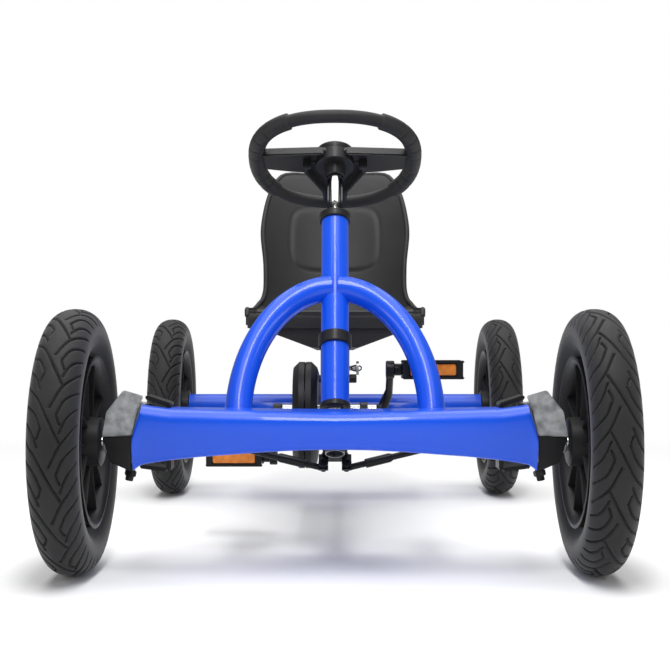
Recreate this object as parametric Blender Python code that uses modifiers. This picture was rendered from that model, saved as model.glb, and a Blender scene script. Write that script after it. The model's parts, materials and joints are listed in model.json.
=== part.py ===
"""A child's pedal go kart: tube frame, swinging front beam, steering, chain drive, seat and four wheels.

Metres, +Z up. The kart faces -Y and its left side is +X. The origin is on the ground, midway between
the axles.
"""

import math

import bmesh
import bpy
from mathutils import Matrix, Vector

# Clearances
GAP = 0.0003  # between pieces that touch
RUNNING = 0.0005  # round a piece that turns or slides

# Wheels and their places
WHEELBASE = 0.82
FRONT_HALF_TRACK = 0.310
REAR_HALF_TRACK = 0.297
TYRE_RADIUS = 0.15875
TYRE_WIDTH = 0.057
TYRE_FACETS = 24
RIM_RADIUS = 0.1016
RIM_WIDTH = 0.050
WHEEL_HUB_RADIUS = 0.030
HUB_HALF_LENGTH = 0.024
STUB_RADIUS = 0.006
REAR_SHAFT_RADIUS = 0.008
AXLE_Z = TYRE_RADIUS
FRONT_Y = -WHEELBASE / 2
REAR_Y = WHEELBASE / 2

# Steering column: heights and lengths along its own line, from the foot of the head tube
COLUMN_LEAN = math.radians(27)
COLUMN_FOOT = Vector((0, FRONT_Y + 0.070, AXLE_Z + 0.04125))
COLUMN_UP = Vector((0, math.sin(COLUMN_LEAN), math.cos(COLUMN_LEAN)))
COLUMN_BACK = Vector((0, math.cos(COLUMN_LEAN), -math.sin(COLUMN_LEAN)))
HEAD_TUBE_RADIUS = 0.018
HEAD_TUBE_LENGTH = 0.268
SHAFT_RADIUS = 0.0122
SHAFT_WALL = 0.0014
STEM_RADIUS = 0.0103
STEM_OVERLAP = 0.12
COLLAR_WALL = 0.0035
COLLAR_RADIUS = HEAD_TUBE_RADIUS + COLLAR_WALL
COLLAR_HEIGHT = 0.010
COLUMN_RING_PLACE = 0.0886
COLUMN_RING_HEIGHT = 0.016
WHEEL_PLACE = 0.3704

# Steering wheel
STEERING_HALF_WIDTH = 0.108
STEERING_TOP = 0.098
STEERING_BOTTOM = 0.108
GRIP_RADIUS = 0.010
HUB_RADIUS = 0.0265
HUB_DROP = 0.0139  # from the rim's plane to the hub's lower face
HUB_HEIGHT = 0.0179
HUB_PAD_HEIGHT = 0.0093

# Drop arm under the column, and the tie rods
PITMAN_PLACE = -0.068
PITMAN_ARM = 0.045
PITMAN_HALF_SPREAD = 0.0145
PITMAN_PLATE = 0.004
PITMAN_RISE = 0.0125
BALL_RADIUS = 0.005
TIE_ROD_RADIUS = 0.004
TIE_PIN_RADIUS = 0.003
TIE_PIN_TILT = 0.37  # sideways lean of the outer pin for each unit of height, square to the rod

# Front beam and its swing pivot
BEAM_FRONT_Y = FRONT_Y - 0.050
BEAM_REAR_Y = FRONT_Y + 0.018
BEAM_HALF_LENGTH = 0.236
SWING_Z = AXLE_Z + 0.01725
SWING_PIN_RADIUS = 0.007
SWING_BUSH_RADIUS = 0.0102
SWING_BUSH_LENGTH = 0.030
POCKET_X = 0.193
POCKET_DEPTH = 0.040

# Kingpins: distance from the middle at axle height, and the lean of the pin's top inwards
KINGPIN_X = 0.2370
KINGPIN_LEAN = 0.2118
KINGPIN_RADIUS = 0.005
BARREL_RADIUS = 0.0095
YOKE_PLATE = 0.005
YOKE_TOP_Z = AXLE_Z + 0.0490
YOKE_BOTTOM_Z = AXLE_Z - 0.0265
KNUCKLE_ARM_TIP = Vector((0.225, FRONT_Y + 0.060, AXLE_Z + 0.01325))

# Frame tubes
ARCH_RADIUS = 0.0165
ARCH_HALF_SPAN = 0.119
ARCH_BASE_Z = AXLE_Z + 0.03125
ARCH_RISE = 0.158
ARCH_SLOPE = 0.634
MAIN_TUBE_RADIUS = 0.0175
MAIN_TUBE_Z = AXLE_Z + 0.07625
REAR_LOOP_RADIUS = 0.014
REAR_LOOP_HALF_WIDTH = 0.14
REAR_LOOP_Y = REAR_Y - 0.14
HOUSING_RADIUS = 0.022
HOUSING_BORE = 0.019
HOUSING_END_X = 0.266
CROSS_PLATE_THICKNESS = 0.012

# Chain drive
CRANK_Y = FRONT_Y + 0.20
CRANK_Z = AXLE_Z + 0.02025
CRANK_MIDDLE_X = -0.0075
CRANK_LENGTH = 0.096
CRANK_RISE = math.radians(41)  # lift of the left crank's tip, forward of the axle
CRANK_SLEEVE_RADIUS = 0.0145
CRANK_ARM_THICKNESS = 0.010
CRANK_ARM_SPLAY = 0.0095  # outward set of the arm's tip from its boss
CRANK_ARM_INNER = 0.0645  # from the middle of the crank set to the arm's inner face
CHAIN_X = -0.0398
CHAIN_PITCH = 0.0127
CHAINRING_TEETH = 28
SPROCKET_TEETH = 17
SPROCKET_THICKNESS = 0.003
CHAIN_WHEELS = ((CRANK_Y, CRANK_Z, CHAINRING_TEETH), (REAR_Y, AXLE_Z, SPROCKET_TEETH))
CASE_MARGIN = 0.0158  # from a chain wheel's pitch circle to the case's outside
CASE_HALF_WIDTH = 0.0162
CASE_WALL = 0.002
CASE_CHAMFER = 0.008
BRACKET_HALF_WIDTH = 0.0195
BRACKET_RADIUS = 0.021
BRACKET_BUSH_LENGTH = 0.010
PEDAL_WIDTH = 0.0795
PEDAL_LENGTH = 0.050
PEDAL_HEIGHT = 0.024
PEDAL_OFFSET = 0.0095  # from the crank arm's outer face to the pedal
SPINDLE_RADIUS = 0.005

# Seat
SEAT_FRONT_Y = REAR_Y - 0.32
SEAT_LIP_Z = AXLE_Z + 0.164
SEAT_TOP_Z = AXLE_Z + 0.417
SEAT_SHELL = 0.005
KEEL_HALF_WIDTH = 0.040
KEEL_BOTTOM_Z = AXLE_Z + 0.109
SADDLE_HALF_WIDTH = 0.0226
SADDLE_FRONT_Y = REAR_Y - 0.345
SADDLE_LENGTH = 0.085
LOCK_PIN_RADIUS = 0.004

MATERIALS = {
    "frame_blue": ((0.012, 0.10, 0.72), 0.25, 0.0),
    "black_plastic": ((0.028, 0.028, 0.030), 0.45, 0.0),
    "black_metal": ((0.018, 0.018, 0.019), 0.40, 0.2),
    "chrome": ((0.75, 0.76, 0.77), 0.15, 1.0),
    "zinc": ((0.55, 0.56, 0.57), 0.35, 1.0),
    "rubber": ((0.022, 0.022, 0.023), 0.75, 0.0),
}

kart = bpy.data.collections.new("pedal_go_kart")
cutters = bpy.data.collections.new("cutters")
pivots = {}


def clear_scene():
    for item in list(bpy.data.objects):
        bpy.data.objects.remove(item, do_unlink=True)
    bpy.context.scene.collection.children.link(kart)
    bpy.context.scene.collection.children.link(cutters)
    cutters.hide_render = True


def column(along, back=0.0, side=0.0):
    """A point given along the steering column's line, behind it and to its left."""
    return COLUMN_FOOT + along * COLUMN_UP + back * COLUMN_BACK + Vector((side, 0, 0))


# Shapes. Each is made in world coordinates and kept with the cutters until it becomes a part.


def shape(name, bm):
    bmesh.ops.recalc_face_normals(bm, faces=bm.faces)
    mesh = bpy.data.meshes.new(name)
    bm.to_mesh(mesh)
    bm.free()
    item = bpy.data.objects.new(name, mesh)
    item.display_type = "WIRE"
    cutters.objects.link(item)
    return item


def between(start, end):
    """The matrix that stands a unit along Z from start towards end, at their middle."""
    start, end = Vector(start), Vector(end)
    turn = (end - start).to_track_quat("Z", "Y").to_matrix().to_4x4()
    return Matrix.Translation((start + end) / 2) @ turn


def rod(start, end, radius, end_radius=None, sides=16):
    bm = bmesh.new()
    length = (Vector(end) - Vector(start)).length
    bmesh.ops.create_cone(
        bm, cap_ends=True, segments=sides, radius1=radius, depth=length,
        radius2=radius if end_radius is None else end_radius, matrix=between(start, end),
    )
    return shape("rod", bm)


def along_x(x0, x1, y, z, radius, end_radius=None, sides=18):
    return rod((x0, y, z), (x1, y, z), radius, end_radius, sides)


def ball(centre, radius):
    bm = bmesh.new()
    bmesh.ops.create_uvsphere(
        bm, u_segments=10, v_segments=6, radius=radius, matrix=Matrix.Translation(centre)
    )
    return shape("ball", bm)


def block(low, high):
    low, high = Vector(low), Vector(high)
    bm = bmesh.new()
    size = Matrix.Diagonal((*(high - low), 1))
    bmesh.ops.create_cube(bm, size=1, matrix=Matrix.Translation((low + high) / 2) @ size)
    return shape("block", bm)


def mirrored_block(side, low, high):
    """A block given for the left side, moved to the side that the sign says."""
    xs = sorted((side * low[0], side * high[0]))
    return block((xs[0], *low[1:]), (xs[1], *high[1:]))


def bar(points, radius, sides=12, closed=False):
    """A solid round bar through the points."""
    curve = bpy.data.curves.new("bar", "CURVE")
    curve.dimensions = "3D"
    curve.bevel_depth = radius
    curve.bevel_resolution = sides // 2 - 2
    curve.use_fill_caps = True
    spline = curve.splines.new("POLY")
    spline.points.add(len(points) - 1)
    for control, point in zip(spline.points, points):
        control.co = (*point, 1)
    spline.use_cyclic_u = closed
    guide = bpy.data.objects.new("bar", curve)
    cutters.objects.link(guide)
    mesh = evaluated_mesh(guide)
    bm = bmesh.new()
    bm.from_mesh(mesh)
    bmesh.ops.remove_doubles(bm, verts=bm.verts, dist=0.00001)
    bpy.data.objects.remove(guide, do_unlink=True)
    return shape("bar", bm)


def hull(*pieces):
    """The convex shape round all the pieces, which it uses up."""
    corners = []
    for piece in pieces:
        corners += [vertex.co.copy() for vertex in piece.data.vertices]
        bpy.data.objects.remove(piece, do_unlink=True)
    return wrap("hull", corners)


def wrap(name, corners):
    """The convex solid whose corners are among these points."""
    bm = bmesh.new()
    for corner in corners:
        bm.verts.new(corner)
    made = bmesh.ops.convex_hull(bm, input=bm.verts)
    inside = {item for item in made["geom_interior"] if isinstance(item, bmesh.types.BMVert)}
    bmesh.ops.delete(bm, geom=list(inside), context="VERTS")
    bmesh.ops.dissolve_limit(bm, angle_limit=0.001, verts=bm.verts, edges=bm.edges)
    return shape(name, bm)


def turned(profile, sides, centre):
    """A solid of revolution about the X line through centre, from a loop of (x, radius) points."""
    bm = bmesh.new()
    ring = [bm.verts.new((x, 0, radius)) for x, radius in profile]
    for first, second in zip(ring, ring[1:] + ring[:1]):
        bm.edges.new((first, second))
    mesh = bpy.data.meshes.new("turned")
    bm.to_mesh(mesh)
    bm.free()
    item = bpy.data.objects.new("turned", mesh)
    cutters.objects.link(item)
    screw = item.modifiers.new("turn", "SCREW")
    screw.axis = "X"
    screw.steps = screw.render_steps = sides
    screw.use_merge_vertices = True
    screw.merge_threshold = 0.00001
    bm = bmesh.new()
    bm.from_mesh(evaluated_mesh(item))
    bpy.data.objects.remove(item, do_unlink=True)
    bmesh.ops.rotate(bm, verts=bm.verts, matrix=Matrix.Rotation(math.pi / sides, 3, "X"))
    bmesh.ops.translate(bm, verts=bm.verts, vec=centre)
    return shape("turned", bm)


def pitch_radius(teeth):
    """The circle that the chain's pins follow round a chain wheel."""
    return CHAIN_PITCH / 2 / math.sin(math.pi / teeth)


def clear(radius, sides):
    """The radius of a cutter with flat sides that leaves the gap all round a bar."""
    return (radius + GAP) / math.cos(math.pi / sides)


def toothed_disc(teeth, centre, thickness):
    """A chain wheel about the X line: a tooth's tip and its root for each link of chain."""
    bm = bmesh.new()
    rim = []
    for step in range(2 * teeth):
        radius = pitch_radius(teeth) + (-0.0025 if step % 2 else 0.0018)
        angle = math.tau * step / (2 * teeth)
        rim.append(bm.verts.new((0, radius * math.cos(angle), radius * math.sin(angle))))
    face = bm.faces.new(rim)
    grown = bmesh.ops.extrude_face_region(bm, geom=[face])
    moved = [part for part in grown["geom"] if isinstance(part, bmesh.types.BMVert)]
    bmesh.ops.translate(bm, verts=moved, vec=(thickness, 0, 0))
    bmesh.ops.translate(bm, verts=bm.verts, vec=Vector(centre) - Vector((thickness / 2, 0, 0)))
    return shape("toothed", bm)


def evaluated_mesh(item):
    bpy.context.view_layer.update()
    graph = bpy.context.evaluated_depsgraph_get()
    return bpy.data.meshes.new_from_object(item.evaluated_get(graph), depsgraph=graph)


def combine(base, others, operation):
    for other in others:
        step = base.modifiers.new("combine", "BOOLEAN")
        step.operation = operation
        step.object = other
    mesh = evaluated_mesh(base)
    base.modifiers.clear()
    base.data = mesh
    for other in others:
        bpy.data.objects.remove(other, do_unlink=True)
    return base


def join(base, *others):
    return combine(base, others, "UNION")


def cut(base, *others):
    return combine(base, others, "DIFFERENCE")


def tube(start, end, radius, bore, sides=18):
    """A pipe: the bore's cutter stands out at both ends."""
    start, end = Vector(start), Vector(end)
    reach = (end - start).normalized() * 0.01
    return cut(rod(start, end, radius, sides=sides), rod(start - reach, end + reach, bore, sides=sides))


def rounded_path(corners, bend_radius, steps=5):
    """The corner points with each inner corner replaced by an arc of the bend radius."""
    corners = [Vector(corner) for corner in corners]
    path = [corners[0]]
    for before, corner, after in zip(corners, corners[1:], corners[2:]):
        back = (before - corner).normalized()
        ahead = (after - corner).normalized()
        half = back.angle(ahead) / 2
        middle = corner + (back + ahead).normalized() * bend_radius / math.sin(half)
        start = corner + back * bend_radius / math.tan(half) - middle
        finish = corner + ahead * bend_radius / math.tan(half) - middle
        for step in range(steps + 1):
            path.append(middle + start.slerp(finish, step / steps).normalized() * bend_radius)
    return path + [corners[-1]]


# Bodies and parts


def pivot(body, place, parent=None):
    """The empty that carries one moving body, on its joint's axis."""
    empty = bpy.data.objects.new(body + "_pivot", None)
    kart.objects.link(empty)
    empty.location = place
    if parent:
        empty.parent = pivots[parent]
        empty.location = Vector(place) - pivots[parent].matrix_world.translation
    pivots[body] = empty
    bpy.context.view_layer.update()


def part(name, body, finish, item):
    item.name = name
    item.data.name = name
    item.display_type = "TEXTURED"
    cutters.objects.unlink(item)
    kart.objects.link(item)
    item.data.materials.clear()
    item.data.materials.append(bpy.data.materials[finish])
    item.data.shade_smooth()
    item.data.set_sharp_from_angle(angle=math.radians(35))
    item.parent = pivots[body]
    item.matrix_parent_inverse = pivots[body].matrix_world.inverted()
    return item


def make_materials():
    for name, (colour, roughness, metallic) in MATERIALS.items():
        material = bpy.data.materials.new(name)
        material.use_nodes = True
        shader = material.node_tree.nodes["Principled BSDF"]
        shader.inputs["Base Color"].default_value = (*colour, 1)
        shader.inputs["Roughness"].default_value = roughness
        shader.inputs["Metallic"].default_value = metallic


def kingpin(side, z):
    """The point of a kingpin's line at a height."""
    return Vector((side * (KINGPIN_X - KINGPIN_LEAN * (z - AXLE_Z)), FRONT_Y, z))


def crank_tip(side):
    forward = CRANK_LENGTH * math.cos(CRANK_RISE)
    up = CRANK_LENGTH * math.sin(CRANK_RISE)
    return CRANK_Y - side * forward, CRANK_Z + side * up


def make_pivots():
    pivot("frame", (0, 0, 0))
    pivot("front_axle", (0, FRONT_Y, SWING_Z), "frame")
    pivot("steering", column(PITMAN_PLACE), "frame")
    pivot("steering_wheel", column(WHEEL_PLACE), "steering")
    pivot("rear_axle", (0, REAR_Y, AXLE_Z), "frame")
    pivot("wheel_rear_left", (REAR_HALF_TRACK, REAR_Y, AXLE_Z), "frame")
    pivot("crank", (CRANK_MIDDLE_X, CRANK_Y, CRANK_Z), "frame")
    pivot("seat", (0, SEAT_FRONT_Y, KEEL_BOTTOM_Z), "frame")
    pivot("seat_lock", (SADDLE_HALF_WIDTH, SADDLE_FRONT_Y + SADDLE_LENGTH / 2, MAIN_TUBE_Z), "seat")
    for side, word in ((1, "left"), (-1, "right")):
        pivot("knuckle_" + word, kingpin(side, AXLE_Z), "front_axle")
        tip = Vector((side * KNUCKLE_ARM_TIP.x, *KNUCKLE_ARM_TIP.yz))
        pivot("tie_rod_" + word, tip, "knuckle_" + word)
        place = (side * FRONT_HALF_TRACK, FRONT_Y, AXLE_Z)
        pivot("wheel_front_" + word, place, "knuckle_" + word)
        y, z = crank_tip(side)
        middle = CRANK_ARM_INNER + CRANK_ARM_THICKNESS + CRANK_ARM_SPLAY + PEDAL_OFFSET + PEDAL_WIDTH / 2
        pivot("pedal_" + word, (CRANK_MIDDLE_X + side * middle, y, z), "crank")


# Frame


def head_tube_cutter():
    return rod(column(-0.02), column(HEAD_TUBE_LENGTH + 0.02), clear(HEAD_TUBE_RADIUS, 20), sides=20)


def arch_points(side):
    points = []
    for step in range(11):
        angle = math.radians(-1.5 + 89.5 * step / 10)
        z = ARCH_BASE_Z + ARCH_RISE * math.sin(angle)
        y = COLUMN_FOOT.y - 0.0315 + ARCH_SLOPE * (z - ARCH_BASE_Z)
        points.append(Vector((side * ARCH_HALF_SPAN * math.cos(angle), y, z)))
    return points


def make_frame():
    head = tube(column(0), column(HEAD_TUBE_LENGTH), HEAD_TUBE_RADIUS, SHAFT_RADIUS + RUNNING, 20)
    part("head_tube", "frame", "frame_blue", head)
    ring_low = column(COLUMN_RING_PLACE - COLUMN_RING_HEIGHT / 2)
    ring_high = column(COLUMN_RING_PLACE + COLUMN_RING_HEIGHT / 2)
    ring = tube(ring_low, ring_high, COLLAR_RADIUS, HEAD_TUBE_RADIUS + GAP, 20)
    part("column_ring", "frame", "black_plastic", ring)
    top = HEAD_TUBE_LENGTH + GAP
    upper = tube(column(top), column(top + COLLAR_HEIGHT), COLLAR_RADIUS, STEM_RADIUS + RUNNING, 20)
    part("upper_bush", "frame", "black_plastic", upper)
    lower = tube(column(-0.008), column(-GAP), HEAD_TUBE_RADIUS, SHAFT_RADIUS + RUNNING)
    part("lower_bush", "frame", "black_plastic", lower)
    for side, word in ((1, "left"), (-1, "right")):
        half = mirrored_block(side, (-0.05, -1, 0), (GAP / 2, 1, 1))
        arch = cut(bar(arch_points(side), ARCH_RADIUS, 12), head_tube_cutter(), half)
        part("arch_tube_" + word, "frame", "frame_blue", arch)
    make_cross_plate()
    bend = REAR_LOOP_Y - 0.07
    neck_y = column((MAIN_TUBE_Z - COLUMN_FOOT.z) / COLUMN_UP.z).y
    neck = (0, neck_y + 0.007, MAIN_TUBE_Z)
    corners = [neck, (0, bend, MAIN_TUBE_Z), (0, REAR_LOOP_Y - 0.006, AXLE_Z + 0.006)]
    loop_hole = along_x(-0.05, 0.05, REAR_LOOP_Y, AXLE_Z, REAR_LOOP_RADIUS + GAP)
    main = cut(bar(rounded_path(corners, 0.04), MAIN_TUBE_RADIUS, 12), head_tube_cutter(), loop_hole)
    part("main_tube", "frame", "frame_blue", main)
    make_bottom_bracket()
    make_rear_frame()


def make_cross_plate():
    front = BEAM_REAR_Y + 0.004
    rear = front + CROSS_PLATE_THICKNESS
    plate = block((-0.137, front, SWING_Z - 0.010), (0.137, rear, SWING_Z + 0.020))
    feet = []
    for side in (1, -1):
        foot, above = arch_points(side)[:2]
        down = (foot - above).normalized()
        feet.append(rod(foot + down * GAP, foot - down * 0.05, ARCH_RADIUS + 2 * GAP, sides=16))
    part("front_cross_plate", "frame", "frame_blue", cut(plate, *feet))
    pin = rod((0, front - GAP, SWING_Z), (0, front - 0.036, SWING_Z), SWING_PIN_RADIUS)
    part("swing_pivot_pin", "frame", "zinc", pin)


def make_bottom_bracket():
    y, z, half = CRANK_Y, CRANK_Z, BRACKET_HALF_WIDTH
    shell = along_x(-half, half, y, z, BRACKET_RADIUS)
    strut = block((-0.012, y - 0.014, z), (0.012, y + 0.014, MAIN_TUBE_Z))
    saddle = rod((0, y - 0.05, MAIN_TUBE_Z), (0, y + 0.05, MAIN_TUBE_Z), clear(MAIN_TUBE_RADIUS, 16))
    bore = along_x(-0.03, 0.03, y, z, BRACKET_RADIUS - 0.0025)
    part("bottom_bracket_shell", "frame", "frame_blue", cut(join(shell, strut), saddle, bore))
    for side, word in ((1, "left"), (-1, "right")):
        inner, outer = side * (half - BRACKET_BUSH_LENGTH), side * half
        bush = tube(
            (inner, y, z), (outer, y, z), BRACKET_RADIUS - 0.0025 - 2 * GAP, CRANK_SLEEVE_RADIUS + RUNNING
        )
        part("bottom_bracket_bush_" + word, "frame", "black_plastic", bush)


def make_rear_frame():
    half, y, z = REAR_LOOP_HALF_WIDTH, REAR_LOOP_Y, AXLE_Z
    corners = [(-half, REAR_Y, z), (-half, y, z), (half, y, z), (half, REAR_Y, z)]
    sleeve = along_x(-0.2, 0.2, REAR_Y, AXLE_Z, HOUSING_RADIUS + GAP)
    loop = cut(bar(rounded_path(corners, 0.045), REAR_LOOP_RADIUS, 12), sleeve)
    part("rear_loop", "frame", "frame_blue", loop)
    for side, word in ((1, "left"), (-1, "right")):
        inner = CHAIN_X + side * (CASE_HALF_WIDTH + GAP)
        outer = side * HOUSING_END_X
        housing = tube((inner, REAR_Y, z), (outer, REAR_Y, z), HOUSING_RADIUS, HOUSING_BORE)
        part("axle_housing_" + word, "frame", "frame_blue", housing)
        start = outer - side * 0.014
        bush = tube((start, REAR_Y, z), (outer, REAR_Y, z), HOUSING_BORE - GAP, REAR_SHAFT_RADIUS + RUNNING)
        part("axle_bush_" + word, "frame", "black_plastic", bush)


# Chain drive


def case_solid(inset):
    """The chain case's outer shape, or its hollow when inset by the wall."""
    discs = []
    half = CASE_HALF_WIDTH - inset
    rim = half - CASE_CHAMFER
    for y, z, teeth in CHAIN_WHEELS:
        radius = pitch_radius(teeth) + CASE_MARGIN
        discs.append(along_x(CHAIN_X - half, CHAIN_X + half, y, z, radius - inset - CASE_CHAMFER, sides=22))
        discs.append(along_x(CHAIN_X - rim, CHAIN_X + rim, y, z, radius - inset, sides=22))
    return hull(*discs)


def chain_loop(offset, half_width):
    """The closed band round both chain wheels, this far outside their pitch circles."""
    discs = []
    for y, z, teeth in CHAIN_WHEELS:
        radius = pitch_radius(teeth) + offset
        discs.append(along_x(CHAIN_X - half_width, CHAIN_X + half_width, y, z, radius, sides=20))
    return hull(*discs)


def make_drive():
    for side, word in ((-1, "outer"), (1, "inner")):
        half = case_solid(0)
        hollow = case_solid(CASE_WALL)
        away = sorted((CHAIN_X + side * GAP / 2, CHAIN_X - side * 0.05))
        other = block((away[0], -1, 0), (away[1], 1, 1))
        crank_hole = along_x(-0.1, 0.0, CRANK_Y, CRANK_Z, CRANK_SLEEVE_RADIUS + 2 * RUNNING)
        shaft_hole = along_x(-0.1, 0.0, REAR_Y, AXLE_Z, REAR_SHAFT_RADIUS + 2 * RUNNING)
        loop_hole = along_x(-0.1, 0.0, REAR_LOOP_Y, AXLE_Z, REAR_LOOP_RADIUS + GAP, sides=16)
        case = cut(half, hollow, other, crank_hole, shaft_hole, loop_hole)
        part("chain_case_" + word, "frame", "black_plastic", case)
    groove = chain_loop(0.0031, SPROCKET_THICKNESS / 2 + RUNNING)
    chain = cut(chain_loop(0.0042, 0.0035), groove, chain_loop(-0.0042, 0.01))
    part("chain", "frame", "zinc", chain)
    ring = toothed_disc(CHAINRING_TEETH, (CHAIN_X, CRANK_Y, CRANK_Z), SPROCKET_THICKNESS)
    ring = cut(ring, along_x(-0.1, 0.0, CRANK_Y, CRANK_Z, CRANK_SLEEVE_RADIUS + GAP))
    part("chainring", "crank", "zinc", ring)
    sprocket = toothed_disc(SPROCKET_TEETH, (CHAIN_X, REAR_Y, AXLE_Z), SPROCKET_THICKNESS)
    boss = along_x(CHAIN_X - 0.006, CHAIN_X + 0.006, REAR_Y, AXLE_Z, 0.016)
    sprocket = cut(join(sprocket, boss), along_x(-0.1, 0.0, REAR_Y, AXLE_Z, REAR_SHAFT_RADIUS + GAP))
    part("rear_sprocket", "rear_axle", "zinc", sprocket)
    end = REAR_HALF_TRACK + HUB_HALF_LENGTH
    part("rear_shaft", "rear_axle", "zinc", along_x(-end, end, REAR_Y, AXLE_Z, REAR_SHAFT_RADIUS))
    make_cranks()


def make_cranks():
    middle, inner = CRANK_MIDDLE_X, CRANK_ARM_INNER
    sleeve = along_x(middle - inner + GAP, middle + inner - GAP, CRANK_Y, CRANK_Z, CRANK_SLEEVE_RADIUS)
    part("crank_axle", "crank", "chrome", sleeve)
    collar = tube(
        (0.0335, CRANK_Y, CRANK_Z), (0.0440, CRANK_Y, CRANK_Z), CRANK_SLEEVE_RADIUS + 0.003,
        CRANK_SLEEVE_RADIUS + GAP,
    )
    part("crank_collar", "crank", "black_plastic", collar)
    for side, word in ((1, "left"), (-1, "right")):
        y, z = crank_tip(side)
        face = middle + side * inner
        outer = face + side * CRANK_ARM_THICKNESS
        boss = along_x(face, outer + side * 0.004, CRANK_Y, CRANK_Z, 0.017)
        blade = hull(
            along_x(face, outer, CRANK_Y, CRANK_Z, 0.013, sides=16),
            along_x(face + side * CRANK_ARM_SPLAY, outer + side * CRANK_ARM_SPLAY, y, z, 0.011, sides=16),
        )
        pedal_start = outer + side * (CRANK_ARM_SPLAY + PEDAL_OFFSET)
        pedal_end = pedal_start + side * PEDAL_WIDTH
        spindle = along_x(outer + side * 0.004, pedal_end - side * 0.006, y, z, SPINDLE_RADIUS, sides=16)
        part("crank_arm_" + word, "crank", "black_metal", join(blade, boss, spindle))
        low = (pedal_start, y - PEDAL_LENGTH / 2, z - PEDAL_HEIGHT / 2)
        high = (pedal_end, y + PEDAL_LENGTH / 2, z + PEDAL_HEIGHT / 2)
        xs = sorted((pedal_start, pedal_end))
        pedal = block((xs[0], *low[1:]), (xs[1], *high[1:]))
        bore = along_x(pedal_start - side * 0.01, pedal_end + side * 0.01, y, z, SPINDLE_RADIUS + RUNNING, sides=16)
        windows = []
        for ahead in (-1, 1):
            ys = sorted((y + ahead * 0.009, y + ahead * (PEDAL_LENGTH / 2 - 0.006)))
            windows.append(block((xs[0] + 0.008, ys[0], z - 0.1), (xs[1] - 0.008, ys[1], z + 0.1)))
        part("pedal_" + word, "pedal_" + word, "black_plastic", cut(pedal, bore, *windows))


# Front axle


def beam_sections():
    """Sideways place, top and bottom of the beam's sections, the last two from the axle height."""
    return (
        (0.0, 0.0385, -0.0068), (0.06, 0.0392, -0.0085), (0.12, 0.0400, -0.0125), (0.18, 0.0415, -0.0175),
        (0.225, 0.0463, -0.0240), (BEAM_HALF_LENGTH, 0.0165, -0.0312),
    )


def make_beam():
    """The pressed beam: rounded box sections, deeper towards the ends, joined along X."""
    half = [(side * x, top, bottom) for side in (-1, 1) for x, top, bottom in beam_sections()]
    bm = bmesh.new()
    loops = []
    corner = 0.010
    for x, top, bottom in sorted(set(half)):
        section = []
        front, rear = BEAM_FRONT_Y + corner, BEAM_REAR_Y - corner
        high, low = AXLE_Z + top - corner, AXLE_Z + bottom + corner
        for y, z, start in ((rear, high, 0), (front, high, 90), (front, low, 180), (rear, low, 270)):
            for step in range(3):
                angle = math.radians(start + 45 * step)
                section.append(bm.verts.new((x, y + corner * math.cos(angle), z + corner * math.sin(angle))))
        loops.append(section)
    for first, second in zip(loops, loops[1:]):
        for place in range(len(first)):
            following = (place + 1) % len(first)
            bm.faces.new((first[place], first[following], second[following], second[place]))
    bm.faces.new(loops[0])
    bm.faces.new(loops[-1])
    beam = shape("beam", bm)
    pockets = []
    for side in (1, -1):
        low = (POCKET_X, BEAM_REAR_Y - POCKET_DEPTH, AXLE_Z - 0.1)
        pockets.append(mirrored_block(side, low, (0.3, BEAM_REAR_Y + 0.02, AXLE_Z + 0.1)))
    hole = rod(
        (0, BEAM_REAR_Y + 0.01, SWING_Z), (0, BEAM_REAR_Y - SWING_BUSH_LENGTH - 0.003, SWING_Z),
        SWING_BUSH_RADIUS + GAP,
    )
    return cut(beam, *pockets, hole)


def make_front_axle():
    part("front_beam", "front_axle", "frame_blue", make_beam())
    start, end = (0, BEAM_REAR_Y, SWING_Z), (0, BEAM_REAR_Y - SWING_BUSH_LENGTH, SWING_Z)
    bush = tube(start, end, SWING_BUSH_RADIUS, SWING_PIN_RADIUS + RUNNING)
    part("swing_bush", "front_axle", "black_plastic", bush)
    for side, word in ((1, "left"), (-1, "right")):
        make_yoke(side, word)
        make_knuckle(side, word)
        make_tie_rod(side, word)


def make_yoke(side, word):
    """The C bracket in the beam's end pocket, which holds the kingpin above and below the knuckle."""
    front = BEAM_REAR_Y - POCKET_DEPTH + GAP
    rear = FRONT_Y + 0.015
    inner = POCKET_X + GAP
    low, high = YOKE_BOTTOM_Z - YOKE_PLATE, YOKE_TOP_Z + YOKE_PLATE
    web = mirrored_block(side, (inner, front, low), (inner + 0.006, rear, high))
    plates = []
    for bottom, top, level in ((YOKE_TOP_Z, high - 0.0005, YOKE_TOP_Z), (low + 0.0005, YOKE_BOTTOM_Z, YOKE_BOTTOM_Z)):
        reach = kingpin(1, level).x + 0.0105
        plates.append(mirrored_block(side, (inner + 0.001, front + 0.001, bottom), (reach, rear - 0.001, top)))
    hole = rod(kingpin(side, YOKE_BOTTOM_Z - 0.03), kingpin(side, YOKE_TOP_Z + 0.03), KINGPIN_RADIUS + GAP)
    part("yoke_" + word, "front_axle", "black_metal", cut(join(web, *plates), hole))
    low, high = low - 0.003, high + 0.003
    pin = rod(kingpin(side, low - 0.004), kingpin(side, high), KINGPIN_RADIUS)
    nut = rod(kingpin(side, low - 0.008), kingpin(side, low), 0.0075, sides=6)
    head = rod(kingpin(side, high - 0.001), kingpin(side, high + 0.005), 0.008, sides=6)
    part("kingpin_" + word, "front_axle", "black_metal", join(pin, nut, head))


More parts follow.
